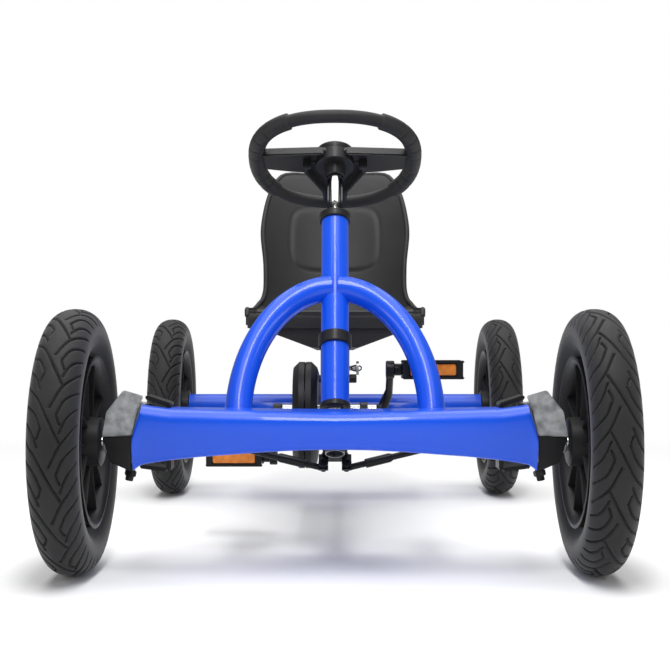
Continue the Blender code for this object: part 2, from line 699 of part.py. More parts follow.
def make_knuckle(side, word):
    """Barrel on the kingpin, plate, stub axle, and the arm back to the tie rod."""
    low, high = YOKE_BOTTOM_Z + 0.0028, YOKE_TOP_Z - 0.0028
    barrel = rod(kingpin(side, low), kingpin(side, high), BARREL_RADIUS)
    y, z = FRONT_Y, AXLE_Z
    plate = hull(
        mirrored_block(side, (0.241, y - 0.0015, z + 0.028), (0.250, y + 0.007, z + 0.040)),
        mirrored_block(side, (0.240, y - 0.014, z + 0.010), (0.268, y + 0.010, z + 0.013)),
        mirrored_block(side, (0.245, y - 0.0015, z - 0.019), (0.262, y + 0.008, z - 0.014)),
    )
    hub_inner = FRONT_HALF_TRACK - HUB_HALF_LENGTH
    hub_outer = FRONT_HALF_TRACK + HUB_HALF_LENGTH
    stub = along_x(side * 0.25, side * (hub_outer - 0.001), y, z, STUB_RADIUS, sides=16)
    shoulder = along_x(side * 0.25, side * (hub_inner - 0.010), y, z, 0.011)
    tip = Vector((side * KNUCKLE_ARM_TIP.x, *KNUCKLE_ARM_TIP.yz))
    lean = Vector((-side * TIE_PIN_TILT, 0, 1)).normalized()
    root = kingpin(side, AXLE_Z + 0.022) + Vector((0, 0.004, 0))
    knob = tip + lean * 0.011
    arm = hull(
        rod(root - lean * 0.004, root + lean * 0.004, 0.007, sides=12),
        rod(knob - lean * 0.003, knob + lean * 0.003, 0.008, sides=12),
    )
    pin = rod(tip - lean * 0.008, knob, TIE_PIN_RADIUS, sides=12)
    knuckle = join(barrel, plate, shoulder, stub, arm, pin)
    hole = rod(kingpin(side, low - 0.02), kingpin(side, high + 0.02), KINGPIN_RADIUS + RUNNING)
    part("knuckle_" + word, "knuckle_" + word, "zinc", cut(knuckle, hole))


def make_tie_rod(side, word):
    """From the knuckle arm's pin to its ball behind the drop arm's ear."""
    tip = Vector((side * KNUCKLE_ARM_TIP.x, *KNUCKLE_ARM_TIP.yz))
    lean = Vector((-side * TIE_PIN_TILT, 0, 1)).normalized()
    end = column(PITMAN_PLACE, PITMAN_ARM, side * PITMAN_HALF_SPREAD)
    shank = rod(tip + (end - tip).normalized() * 0.004, end, TIE_ROD_RADIUS, sides=12)
    eye = rod(tip - lean * 0.005, tip + lean * 0.005, 0.007, sides=16)
    hole = rod(tip - lean * 0.02, tip + lean * 0.02, TIE_PIN_RADIUS + RUNNING, sides=12)
    rod_end = join(shank, eye, ball(end, BALL_RADIUS))
    part("tie_rod_" + word, "tie_rod_" + word, "black_metal", cut(rod_end, hole))


# Steering


def make_steering():
    foot, top = column(PITMAN_PLACE + 0.001), column(HEAD_TUBE_LENGTH - 0.010)
    shaft = tube(foot, top, SHAFT_RADIUS, SHAFT_RADIUS - SHAFT_WALL)
    part("steering_shaft", "steering", "zinc", shaft)
    make_pitman()
    stem_top = WHEEL_PLACE - HUB_DROP - GAP
    stem = rod(column(HEAD_TUBE_LENGTH - STEM_OVERLAP), column(stem_top), STEM_RADIUS)
    part("steering_stem", "steering_wheel", "chrome", stem)
    part("steering_wheel", "steering_wheel", "black_plastic", make_steering_wheel())
    pad_base = WHEEL_PLACE - HUB_DROP + HUB_HEIGHT + GAP
    pad = rod(column(pad_base), column(pad_base + HUB_PAD_HEIGHT), HUB_RADIUS, HUB_RADIUS - 0.001, 20)
    part("steering_hub_pad", "steering_wheel", "black_plastic", pad)


def make_pitman():
    """Clamp round the shaft's foot, plate, and two ears that hang in front of the tie rods' ends."""
    place = PITMAN_PLACE + PITMAN_RISE
    boss = rod(column(place - 0.007), column(place + 0.006), 0.0155)
    plate = []
    for back, half in ((0.0, 0.010), (PITMAN_ARM + 0.005, PITMAN_HALF_SPREAD + 0.006)):
        for side in (1, -1):
            plate += [column(place + lift, back, side * half) for lift in (-PITMAN_PLATE / 2, PITMAN_PLATE / 2)]
    pieces = [wrap("plate", plate)]
    for side in (1, -1):
        ear = []
        for along in (place, PITMAN_PLACE - 0.008):
            for back in (PITMAN_ARM - 0.016, PITMAN_ARM - 0.012):
                ear += [column(along, back, side * PITMAN_HALF_SPREAD + across) for across in (-0.006, 0.006)]
        pieces.append(wrap("ear", ear))
    bore = rod(column(place - 0.03), column(place + 0.03), SHAFT_RADIUS + GAP)
    part("pitman_arm", "steering", "black_metal", cut(join(boss, *pieces), bore))


def rim_point(angle):
    """A point of the grip's centre line: a rounded loop, flatter across its top."""
    across = STEERING_HALF_WIDTH * math.copysign(abs(math.cos(angle)) ** 0.86, math.cos(angle))
    reach = STEERING_TOP if math.sin(angle) > 0 else STEERING_BOTTOM
    power = 0.80 if math.sin(angle) > 0 else 0.9
    up = reach * math.copysign(abs(math.sin(angle)) ** power, math.sin(angle))
    return column(WHEEL_PLACE, -up, across)


def wheel_slab(outline, low, high):
    """A flat plate square to the column, through (across, up) points of the wheel's plane."""
    faces = [column(WHEEL_PLACE + along, -up, across) for across, up in outline for along in (low, high)]
    return wrap("slab", faces)


def make_steering_wheel():
    wheel = bar([rim_point(math.tau * step / 26) for step in range(26)], GRIP_RADIUS, 8, closed=True)
    hub_base = WHEEL_PLACE - HUB_DROP
    hub = rod(column(hub_base), column(hub_base + HUB_HEIGHT), HUB_RADIUS, sides=20)
    rim_x = STEERING_HALF_WIDTH
    spokes = []
    for side in (1, -1):
        wing = ((side * 0.010, 0.026), (side * 0.010, -0.026), (side * rim_x, 0.021), (side * rim_x, -0.020))
        spokes.append(wheel_slab(wing, -0.005, 0.004))
    foot_end = 0.0006 - STEERING_BOTTOM
    foot = ((-0.030, -0.0087), (0.030, -0.0087), (-0.0131, foot_end), (0.0131, foot_end))
    spokes.append(wheel_slab(foot, -0.0042, 0.0031))
    return join(wheel, hub, *spokes)


# Wheels


def tyre_profile():
    half, tread, bead = TYRE_WIDTH / 2, TYRE_RADIUS / math.cos(math.pi / TYRE_FACETS), RIM_RADIUS + GAP
    bulge = (tread + bead) / 2
    return (
        (-half * 0.35, tread), (-half * 0.8, tread - 0.009), (-half, bulge), (-half * 0.78, bead),
        (half * 0.78, bead), (half, bulge), (half * 0.8, tread - 0.009), (half * 0.35, tread),
    )


def wheel_rim(centre, side, bore):
    half, inside = RIM_WIDTH / 2, RIM_RADIUS - 0.007
    barrel = ((-half, RIM_RADIUS), (-half, inside), (half, inside), (half, RIM_RADIUS))
    rim = turned(barrel, TYRE_FACETS, centre)
    x, y, z = centre
    disc = along_x(x + side * 0.006, x + side * 0.013, y, z, RIM_RADIUS - 0.005, sides=TYRE_FACETS)
    hub = along_x(x - side * HUB_HALF_LENGTH, x + side * HUB_HALF_LENGTH, y, z, WHEEL_HUB_RADIUS)
    windows = []
    for spoke in range(5):
        windows.append(rim_window(centre, math.tau * (spoke + 0.5) / 5))
    hole = along_x(x - 0.1, x + 0.1, y, z, bore, sides=16)
    return cut(join(rim, disc, hub), *windows, hole)


def rim_window(centre, angle):
    """One three-cornered opening between two spokes."""
    corners = []
    for radius, turn in ((0.040, 0.0), (0.084, 0.42), (0.088, 0.0), (0.084, -0.42)):
        for x in (-0.1, 0.1):
            place = Vector((x, radius * math.sin(angle + turn), radius * math.cos(angle + turn)))
            corners.append(Vector(centre) + place)
    return wrap("window", corners)


def make_wheels():
    corners = (
        ("front", "left", 1, FRONT_HALF_TRACK, FRONT_Y), ("front", "right", -1, FRONT_HALF_TRACK, FRONT_Y),
        ("rear", "left", 1, REAR_HALF_TRACK, REAR_Y), ("rear", "right", -1, REAR_HALF_TRACK, REAR_Y),
    )
    for end, word, side, half_track, y in corners:
        place = "_" + end + "_" + word
        body = "rear_axle" if place == "_rear_right" else "wheel" + place
        centre = Vector((side * half_track, y, AXLE_Z))
        part("tyre" + place, body, "rubber", turned(tyre_profile(), TYRE_FACETS, centre))
        axle = STUB_RADIUS if end == "front" else REAR_SHAFT_RADIUS
        clearance = GAP if body == "rear_axle" else RUNNING
        part("rim" + place, body, "black_plastic", wheel_rim(centre, side, axle + clearance))
        start = centre.x + side * (HUB_HALF_LENGTH + GAP)
        cap = along_x(start, start + side * 0.0035, y, AXLE_Z, 0.024, 0.020)
        part("hub_cap" + place, body, "black_plastic", cap)


# Seat


def seat_point(along, across):
    """The seat's sheet: along runs 0 to 1 from front lip to the back's top, across -1 to 1 over its width."""
    depth = REAR_Y - 0.030 - SEAT_FRONT_Y
    stations = (
        (0.00, 0.000, SEAT_LIP_Z - 0.022, 0.136, 0.006), (0.06, 0.010, SEAT_LIP_Z - 0.004, 0.139, 0.002),
        (0.14, 0.045, SEAT_LIP_Z - 0.010, 0.140, 0.012), (0.26, 0.110, SEAT_LIP_Z - 0.024, 0.137, 0.030),
        (0.38, 0.165, SEAT_LIP_Z - 0.020, 0.128, 0.042), (0.48, 0.200, SEAT_LIP_Z + 0.015, 0.120, 0.046),
        (0.60, 0.222, SEAT_LIP_Z + 0.070, 0.119, 0.046), (0.74, 0.243, SEAT_LIP_Z + 0.130, 0.125, 0.044),
        (0.86, 0.262, SEAT_LIP_Z + 0.190, 0.117, 0.030), (0.95, 0.277, SEAT_TOP_Z - 0.020, 0.103, 0.014),
        (1.00, depth, SEAT_TOP_Z, 0.087, 0.004),
    )
    for first, second in zip(stations, stations[1:]):
        if along <= second[0] or second is stations[-1]:
            share = (along - first[0]) / (second[0] - first[0])
            y, z, half, rise = (a + share * (b - a) for a, b in zip(first[1:], second[1:]))
            run = Vector((0, second[1] - first[1], second[2] - first[2])).normalized()
            inward = Vector((0, -run.z, run.y))
            break
    lift = rise * abs(across) ** 2.5
    return Vector((across * half, SEAT_FRONT_Y + y, z)) + inward * lift


def make_seat():
    rows, columns = 15, 8
    bm = bmesh.new()
    grid = []
    for row in range(rows + 1):
        across = [2 * place / columns - 1 for place in range(columns + 1)]
        grid.append([bm.verts.new(seat_point(row / rows, share)) for share in across])
    for first, second in zip(grid, grid[1:]):
        for place in range(columns):
            bm.faces.new((first[place], first[place + 1], second[place + 1], second[place]))
    sheet = shape("sheet", bm)
    skin = sheet.modifiers.new("thickness", "SOLIDIFY")
    skin.thickness = SEAT_SHELL
    skin.offset = 0
    skin.use_even_offset = True
    sheet.data = evaluated_mesh(sheet)
    sheet.modifiers.clear()
    keel = block(
        (-KEEL_HALF_WIDTH, SEAT_FRONT_Y + 0.012, KEEL_BOTTOM_Z),
        (KEEL_HALF_WIDTH, SEAT_FRONT_Y + 0.130, SEAT_LIP_Z - 0.020),
    )
    part("seat_shell", "seat", "black_plastic", join(sheet, keel))
    front, rear = SADDLE_FRONT_Y, SADDLE_FRONT_Y + SADDLE_LENGTH
    low = MAIN_TUBE_Z - 0.022
    saddle = block((-SADDLE_HALF_WIDTH, front, low), (SADDLE_HALF_WIDTH, rear, KEEL_BOTTOM_Z - GAP))
    reach = MAIN_TUBE_RADIUS + RUNNING
    slot = block((-reach, front - 0.01, low - 0.01), (reach, rear + 0.01, MAIN_TUBE_Z))
    tunnel = rod((0, front - 0.01, MAIN_TUBE_Z), (0, rear + 0.01, MAIN_TUBE_Z), reach, sides=16)
    middle = (front + rear) / 2
    pin_hole = along_x(0.005, 0.05, middle, MAIN_TUBE_Z, LOCK_PIN_RADIUS + RUNNING, sides=16)
    bolt = along_x(0, SADDLE_HALF_WIDTH + 0.011, front + 0.02, low + 0.007, 0.006, sides=6)
    part("seat_saddle", "seat", "black_metal", cut(join(saddle, bolt), join(slot, tunnel), pin_hole))
    pin = along_x(reach + 0.0005, 0.036, middle, MAIN_TUBE_Z, LOCK_PIN_RADIUS, sides=16)
    handle = tube((0.034, middle, MAIN_TUBE_Z), (0.038, middle, MAIN_TUBE_Z), 0.011, 0.0035, 16)
    part("seat_lock_pin", "seat_lock", "zinc", join(pin, handle))


def main():
    clear_scene()
    make_materials()
    make_pivots()
    make_frame()
    make_drive()
    make_front_axle()
    make_steering()
    make_wheels()
    make_seat()


main()
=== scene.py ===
"""The look of a child's pedal go kart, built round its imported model. Metres, +Z up, the kart faces -Y."""

import json
import math

import bmesh
import bpy
import numpy as np
from mathutils import Matrix, Vector


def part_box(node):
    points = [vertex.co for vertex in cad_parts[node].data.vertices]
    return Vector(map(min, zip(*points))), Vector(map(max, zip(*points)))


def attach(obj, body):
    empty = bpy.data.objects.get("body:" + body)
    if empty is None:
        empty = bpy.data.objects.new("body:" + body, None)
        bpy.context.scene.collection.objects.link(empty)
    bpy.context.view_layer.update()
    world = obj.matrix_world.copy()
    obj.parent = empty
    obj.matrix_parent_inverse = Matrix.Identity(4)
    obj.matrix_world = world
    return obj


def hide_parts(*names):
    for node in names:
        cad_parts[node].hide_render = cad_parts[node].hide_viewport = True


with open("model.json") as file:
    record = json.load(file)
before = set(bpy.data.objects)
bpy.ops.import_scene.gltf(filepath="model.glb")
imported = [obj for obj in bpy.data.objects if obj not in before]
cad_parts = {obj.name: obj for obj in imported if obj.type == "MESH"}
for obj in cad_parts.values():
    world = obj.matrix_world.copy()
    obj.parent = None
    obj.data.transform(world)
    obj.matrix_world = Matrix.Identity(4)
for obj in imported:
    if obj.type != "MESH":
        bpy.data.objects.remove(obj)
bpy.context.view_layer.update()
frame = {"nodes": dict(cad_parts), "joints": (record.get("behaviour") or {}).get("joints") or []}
nodes = frame["nodes"]


# Places, read from the frame


def middle(node):
    """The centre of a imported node's box."""
    low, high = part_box(node)
    return (low + high) / 2


def joint(name):
    """A joint's place and direction at rest."""
    found = next(item for item in frame["joints"] if item["name"] == name)
    return Vector(found.get("pos_m", (0, 0, 0))), Vector(found["axis"]).normalized()


COLUMN_PLACE, COLUMN_UP = joint("steering_turn")
COLUMN_BACK = Vector((0, COLUMN_UP.z, -COLUMN_UP.y))
SIDES = ((1, "left"), (-1, "right"))


def column(along, back=0.0, side=0.0):
    """A point given along the steering column from the drop arm's pivots, behind it and to its left."""
    return COLUMN_PLACE + along * COLUMN_UP + back * COLUMN_BACK + Vector((side, 0, 0))


# Materials


def finish(name, colour, roughness, metallic=0.0, coat=0.0, mottle=0.12, mottle_scale=9.0,
           grain=0.0, grain_scale=900.0, grain_depth=0.0004, wear=0.0, sheen=0.0, shine=0.25):
    """A Principled surface whose colour and roughness vary softly, with a fine grain in its bump."""
    material = bpy.data.materials.new(name)
    material.use_nodes = True
    tree = material.node_tree
    shader = tree.nodes["Principled BSDF"]
    shader.inputs["Metallic"].default_value = metallic
    shader.inputs["Coat Weight"].default_value = coat
    shader.inputs["Coat Roughness"].default_value = 0.04
    shader.inputs["Specular IOR Level"].default_value = shine
    shader.inputs["Sheen Weight"].default_value = sheen
    shader.inputs["Sheen Roughness"].default_value = 0.4
    place = tree.nodes.new("ShaderNodeTexCoord")

    def noise(scale, detail):
        texture = tree.nodes.new("ShaderNodeTexNoise")
        texture.inputs["Scale"].default_value = scale
        texture.inputs["Detail"].default_value = detail
        tree.links.new(place.outputs["Object"], texture.inputs["Vector"])
        return texture

    clouds = noise(mottle_scale, 4.0)
    ramp = tree.nodes.new("ShaderNodeValToRGB")
    ramp.color_ramp.elements[0].position = 0.3
    ramp.color_ramp.elements[1].position = 0.7
    ramp.color_ramp.elements[0].color = (*[c * (1 - mottle) for c in colour], 1)
    ramp.color_ramp.elements[1].color = (*[min(1.0, c * (1 + mottle)) for c in colour], 1)
    tree.links.new(clouds.outputs["Fac"], ramp.inputs["Fac"])
    tree.links.new(ramp.outputs["Color"], shader.inputs["Base Color"])
    spread = tree.nodes.new("ShaderNodeMapRange")
    spread.inputs["To Min"].default_value = max(0.02, roughness * (1 - 0.18 - wear))
    spread.inputs["To Max"].default_value = min(1.0, roughness * (1 + 0.18 + wear))
    smudges = noise(mottle_scale * 4, 6.0)
    tree.links.new(smudges.outputs["Fac"], spread.inputs["Value"])
    tree.links.new(spread.outputs["Result"], shader.inputs["Roughness"])
    if grain:
        bump = tree.nodes.new("ShaderNodeBump")
        bump.inputs["Strength"].default_value = grain
        bump.inputs["Distance"].default_value = grain_depth
        tree.links.new(noise(grain_scale, 3.0).outputs["Fac"], bump.inputs["Height"])
        tree.links.new(bump.outputs["Normal"], shader.inputs["Normal"])
    return material


PAINT = finish("blue_paint", (0.0015, 0.080, 0.72), 0.34, coat=0.35, mottle=0.03, mottle_scale=5, shine=0.3,
               grain=0.05, grain_scale=420, grain_depth=0.0003)
RUBBER = finish("tyre_rubber", (0.017, 0.017, 0.018), 0.62, mottle=0.15, mottle_scale=22, grain=0.25,
                grain_scale=1400, grain_depth=0.0003, sheen=0.15)
WHEEL = finish("wheel_plastic", (0.016, 0.016, 0.017), 0.42, mottle=0.12, mottle_scale=18, grain=0.2,
               grain_scale=1800, grain_depth=0.0002)
PLASTIC = finish("black_plastic", (0.014, 0.014, 0.015), 0.36, mottle=0.10, mottle_scale=16, grain=0.2,
                 grain_scale=1500, grain_depth=0.0002)
CASE = finish("case_plastic", (0.012, 0.012, 0.013), 0.46, mottle=0.10, mottle_scale=10, grain=0.35,
              grain_scale=1300, grain_depth=0.0003)
SEAT = finish("seat_plastic", (0.023, 0.023, 0.024), 0.48, mottle=0.10, mottle_scale=8, grain=0.5,
              grain_scale=1100, grain_depth=0.0004)
GRIP = finish("grip_rubber", (0.018, 0.018, 0.019), 0.52, mottle=0.12, mottle_scale=30, grain=0.3,
              grain_scale=1500, grain_depth=0.0003)
DARK_METAL = finish("dark_metal", (0.013, 0.013, 0.014), 0.34, metallic=0.3, mottle=0.15, mottle_scale=30,
                    grain=0.2, grain_scale=1200, grain_depth=0.0003, wear=0.2)
ZINC = finish("zinc_plate", (0.42, 0.43, 0.44), 0.42, metallic=0.75, mottle=0.42, mottle_scale=75, grain=0.25,
              grain_scale=600, grain_depth=0.0003, wear=0.3)
STEEL = finish("bright_steel", (0.62, 0.63, 0.64), 0.24, metallic=1.0, mottle=0.08, mottle_scale=60,
               grain=0.05,
               grain_scale=900, wear=0.2)
CHROME = finish("chrome_plate", (0.70, 0.71, 0.72), 0.10, metallic=1.0, mottle=0.05, mottle_scale=30)
AMBER = finish("amber_reflector", (0.85, 0.24, 0.012), 0.22, coat=0.5, mottle=0.18, mottle_scale=130)


# Building helpers


def piece(name, mesh, material, body, replaces=(), angle=35.0):
    """Puts a mesh in the scene on its body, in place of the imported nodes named."""
    item = bpy.data.objects.new(name, mesh)
    bpy.context.scene.collection.objects.link(item)
    mesh.materials.clear()
    mesh.materials.append(material)
    mesh.shade_smooth()
    if angle:
        mesh.set_sharp_from_angle(angle=math.radians(angle))
    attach(item, body)
    if replaces:
        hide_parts(*replaces)
    return item


def mesh_of(points, faces):
    """A mesh whose faces all look outwards."""
    mesh = bpy.data.meshes.new("mesh")
    mesh.from_pydata([tuple(map(float, point)) for point in points], [], faces)
    bm = bmesh.new()
    bm.from_mesh(mesh)
    bmesh.ops.recalc_face_normals(bm, faces=bm.faces)
    bm.to_mesh(mesh)
    bm.free()
    return mesh


def loft(rings, closed=False, caps=True):
    """Skins rings of equal length, one after the other."""
    count = len(rings[0])
    points = [point for ring in rings for point in ring]
    faces = []
    pairs = list(zip(range(len(rings)), range(1, len(rings))))
    if closed:
        pairs.append((len(rings) - 1, 0))
    for first, second in pairs:
        for place in range(count):
            following = (place + 1) % count
            faces.append((first * count + place, first * count + following,
                          second * count + following, second * count + place))
    if caps and not closed:
        faces.append(tuple(range(count)))
        faces.append(tuple(range((len(rings) - 1) * count, len(rings) * count)))
    return mesh_of(points, faces)


def circle(centre, axis, radius, sides=32, flat=None):
    """Points round an axis; flat gives the direction of the first point."""
    axis = Vector(axis).normalized()
    first = Vector(flat) if flat else axis.orthogonal()
    first = (first - axis * first.dot(axis)).normalized()
    second = axis.cross(first)
    turns = [math.tau * step / sides for step in range(sides)]
    return [Vector(centre) + radius * (math.cos(a) * first + math.sin(a) * second) for a in turns]


def turned(centre, axis, profile, sides=40, closed=False):
    """A turned shape: the profile gives (along, radius) pairs."""
    centre, axis = Vector(centre), Vector(axis).normalized()
    flat = axis.orthogonal()
    rings = [circle(centre + axis * along, axis, radius, sides, flat) for along, radius in profile]
    return loft(rings, closed=closed)


def rounded_rod(start, end, radius, ease=0.001, sides=28):
    """A cylinder with its two edges eased."""
    start, end = Vector(start), Vector(end)
    length = (end - start).length
    profile = [(0, radius - ease), (ease * 0.3, radius - ease * 0.3), (ease, radius), (length - ease, radius),
               (length - ease * 0.3, radius - ease * 0.3), (length, radius - ease)]
    return turned(start, end - start, profile, sides)


def sweep(points, radius, sides=24, closed=False, up=(0, 0, 1)):
    """A tube along a smooth path."""
    points = [Vector(point) for point in points]
    count = len(points)
    rings = []
    for place, point in enumerate(points):
        before = points[place - 1] if place or closed else point
        after = points[(place + 1) % count] if place + 1 < count or closed else point
        rings.append(circle(point, after - before, radius, sides, up))
    return loft(rings, closed=closed)


def merged(meshes):
    """Several meshes as one."""
    bm = bmesh.new()
    for mesh in meshes:
        bm.from_mesh(mesh)
    whole = bpy.data.meshes.new("merged")
    bm.to_mesh(whole)
    bm.free()
    return whole


def slab(corners, normal, thickness, ease=0.0012):
    """A plate through flat corners with rounded edges."""
    bm = bmesh.new()
    ring = [bm.verts.new(corner) for corner in corners]
    face = bm.faces.new(ring)
    grown = bmesh.ops.extrude_face_region(bm, geom=[face])
    moved = [part for part in grown["geom"] if isinstance(part, bmesh.types.BMVert)]
    bmesh.ops.translate(bm, verts=moved, vec=Vector(normal).normalized() * thickness)
    bmesh.ops.recalc_face_normals(bm, faces=bm.faces)
    bmesh.ops.bevel(bm, geom=list(bm.edges), offset=ease, segments=2, affect="EDGES", clamp_overlap=True)
    mesh = bpy.data.meshes.new("slab")
    bm.to_mesh(mesh)
    bm.free()
    return mesh


def block(low, high, ease=0.0012):
    """A box with eased edges between two corners."""
    low, high = Vector(low), Vector(high)
    corners = [(low.x, low.y, low.z), (high.x, low.y, low.z), (high.x, high.y, low.z), (low.x, high.y, low.z)]
    return slab(corners, (0, 0, 1), high.z - low.z, ease)


def screw_head(place, axis, radius=0.006, height=0.005):
    """A hexagon socket screw's head, with a hollow in its face."""
    profile = [(0, radius), (height - 0.0008, radius), (height, radius - 0.0008), (height, radius * 0.5),
               (height * 0.45, radius * 0.45), (height * 0.45, 0.0002)]
    return turned(place, axis, profile, 24)


def hex_nut(place, axis, radius, height):
    """A six-sided nut that stands on its place."""
    profile = [(0, radius), (height * 0.8, radius), (height, radius * 0.88), (height, radius * 0.45)]
    return turned(place, axis, profile, 6)


# Wheels


TYRE_LOW, TYRE_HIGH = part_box("tyre_front_left")
TYRE_RADIUS = (TYRE_HIGH.z - TYRE_LOW.z) / 2
TYRE_HALF = (TYRE_HIGH.x - TYRE_LOW.x) / 2
BEAD_RADIUS = 0.1035
TREAD_REPEATS = 15
TREAD_ROWS = 1080
TREAD_HALF = 0.0375  # reach of the tread each side of the crown, measured over the surface
GROOVE_HALF = 0.00115
GROOVE_DEPTH = 0.0027


def tyre_section(steps=104):
    """(x, radius, reach over the surface from the crown) round the tyre's outside, bead to bead."""
    section = []
    crown = TYRE_RADIUS
    height = (crown - BEAD_RADIUS) / 2
    for step in range(steps + 1):
        angle = math.pi * (step / steps - 0.5) * 1.42
        x = TYRE_HALF * math.copysign(abs(math.sin(angle)) ** 0.92, math.sin(angle))
        radius = crown - height + height * math.copysign(abs(math.cos(angle)) ** 0.90, math.cos(angle))
        section.append([x, radius])
    section = np.array(section)
    run = np.concatenate([[0], np.cumsum(np.hypot(*np.diff(section, axis=0).T))])
    return section, run - np.interp(0, section[:, 0][steps // 4: 3 * steps // 4 + 1],
                                    run[steps // 4: 3 * steps // 4 + 1])


def groove_lines(pitch, side):
    """Polylines of one repeat on one side: (forward along the tread, out from the crown)."""
    lead = 0 if side < 0 else 0.23
    crossing = 0.0010 if side < 0 else -0.0120
    main = [(0, 0.037), (0.20, 0.024), (0.40, 0.0125), (0.75 if side < 0 else 1.10, crossing)]
    medium = [(-0.30, 0.037), (-0.14, 0.024), (0.02, 0.0170), (0.18, 0.0125)]
    hook = [(-0.615, 0.037), (-0.415, 0.0185), (-0.20, 0.0107), (-0.10, 0.0090), (0.04, 0.0125)]
    lines = []
    for line in (main, medium, hook):
        curve = smooth_path([Vector((share + lead, out * 30, 0)) for share, out in line], 3)
        lines.append([(point.x * pitch, point.y / 30) for point in curve])
    return lines


def groove_depth(along, out, pitch):
    """How deep the tread is cut at each point, from its distance to the nearest groove line."""
    nearest = np.full(along.shape, 1.0)
    within = np.mod(along, pitch)
    for side in (1, -1):
        for line in groove_lines(pitch, side):
            for (u0, v0), (u1, v1) in zip(line, line[1:]):
                for turn in (-1, 0, 1):
                    u = within - u0 - turn * pitch
                    v = side * out - v0
                    du, dv = u1 - u0, v1 - v0
                    share = np.clip((u * du + v * dv) / (du * du + dv * dv), 0, 1)
                    nearest = np.minimum(nearest, np.hypot(u - share * du, v - share * dv))
    wall = np.clip((GROOVE_HALF + 0.0006 - nearest) / 0.0011, 0, 1)
    return GROOVE_DEPTH * wall * wall * (3 - 2 * wall)


def tyre_mesh():
    """One tyre about the X line through the origin, its tread running up over the front of the wheel."""
    section, reach = tyre_section()
    rows = TREAD_ROWS
    angles = math.tau * np.arange(rows) / rows
    pitch = math.tau * TYRE_RADIUS / TREAD_REPEATS
    along, out = np.meshgrid(angles * TYRE_RADIUS, reach, indexing="ij")
    depth = groove_depth(along, out, pitch)
    depth *= np.clip((TREAD_HALF - np.abs(out)) / 0.002, 0, 1)
    slope = np.gradient(section, axis=0)
    outward = np.stack([-slope[:, 1], slope[:, 0]], axis=1)
    outward /= np.hypot(outward[:, 0], outward[:, 1])[:, None]
    x = section[None, :, 0] - depth * outward[None, :, 0]
    radius = section[None, :, 1] - depth * outward[None, :, 1]
    inner = np.array([[TYRE_HALF * 0.55, BEAD_RADIUS - 0.0012], [-TYRE_HALF * 0.55, BEAD_RADIUS - 0.0012]])
    x = np.concatenate([x, np.tile(inner[:, 0], (rows, 1))], axis=1)
    radius = np.concatenate([radius, np.tile(inner[:, 1], (rows, 1))], axis=1)
    turn = angles[:, None]
    points = np.stack([x, -radius * np.cos(turn), radius * np.sin(turn)], axis=2)
    count = points.shape[1]
    row, place = np.meshgrid(np.arange(rows), np.arange(count), indexing="ij")
    right, below = (place + 1) % count, (row + 1) % rows
    faces = np.stack([row * count + place, row * count + right, below * count + right,
                      below * count + place], axis=2)
    mesh = bpy.data.meshes.new("tyre")
    mesh.from_pydata(points.reshape(-1, 3).tolist(), [], faces.reshape(-1, 4).tolist())
    bm = bmesh.new()
    bm.from_mesh(mesh)
    bmesh.ops.recalc_face_normals(bm, faces=bm.faces)
    bm.to_mesh(mesh)
    bm.free()
    return mesh


RIM_RADIUS = 0.1016
RIM_HALF = 0.025
SPOKES = 5


def rim_mesh():
    """Barrel, flat spokes with their ribs, and hub, about the X line; its outside is at +X."""
    barrel = [(-RIM_HALF, RIM_RADIUS + 0.0018), (-RIM_HALF - 0.001, RIM_RADIUS - 0.001),
              (-RIM_HALF, RIM_RADIUS - 0.004),
              (-RIM_HALF + 0.006, RIM_RADIUS - 0.009), (RIM_HALF - 0.006, RIM_RADIUS - 0.009),
              (RIM_HALF, RIM_RADIUS - 0.004), (RIM_HALF + 0.001,
                                               RIM_RADIUS - 0.001), (RIM_HALF, RIM_RADIUS + 0.0018),
              (RIM_HALF - 0.005, RIM_RADIUS - 0.001), (-RIM_HALF + 0.005, RIM_RADIUS - 0.001)]
    parts = [turned((0, 0, 0), (1, 0, 0), barrel, 72, closed=True)]
    hub = [(-0.0315, 0.0100), (-0.0315, 0.0265), (-0.0300, 0.0290), (-0.010, 0.0300), (0.010, 0.0300),
           (0.0215, 0.0290),
           (0.0240, 0.0265), (0.0240, 0.0100)]
    parts.append(turned((0, 0, 0), (1, 0, 0), hub, 48))
    for spoke in range(SPOKES):
        angle = math.tau * spoke / SPOKES
        turn = Matrix.Rotation(angle, 4, "X")
        flank = [Vector((0.004, -0.015, 0.024)), Vector((0.004, 0.015, 0.024)), Vector((0.004, 0.026, 0.090)),
                 Vector((0.004, -0.026, 0.090))]
        parts.append(slab([turn @ corner for corner in flank], turn @ Vector((1, 0, 0)), 0.006, 0.002))
        for side in (1, -1):
            rib = [Vector((-0.018, side * 0.0095, 0.026)), Vector((0.008, side * 0.0095, 0.026)),
                   Vector((0.008, side * 0.021, 0.092)), Vector((-0.018, side * 0.021, 0.092))]
            parts.append(slab([turn @ corner for corner in rib], turn @ Vector((0, side, 0)), 0.003, 0.001))
    parts.append(turned((0, 0, 0), (1, 0, 0), [(0.003, 0.0925), (0.011, 0.0925), (0.011, 0.083),
                                               (0.003, 0.083)], 60, closed=True))
    return merged(parts)


def hub_cap_mesh():
    """The shallow dome over a wheel's hub, about the X line; its outside is at +X."""
    profile = [(0, 0.0235), (0.0012, 0.0235), (0.0025, 0.0215), (0.0032, 0.012), (0.0034, 0.0002)]
    return turned((0, 0, 0), (1, 0, 0), profile, 40)


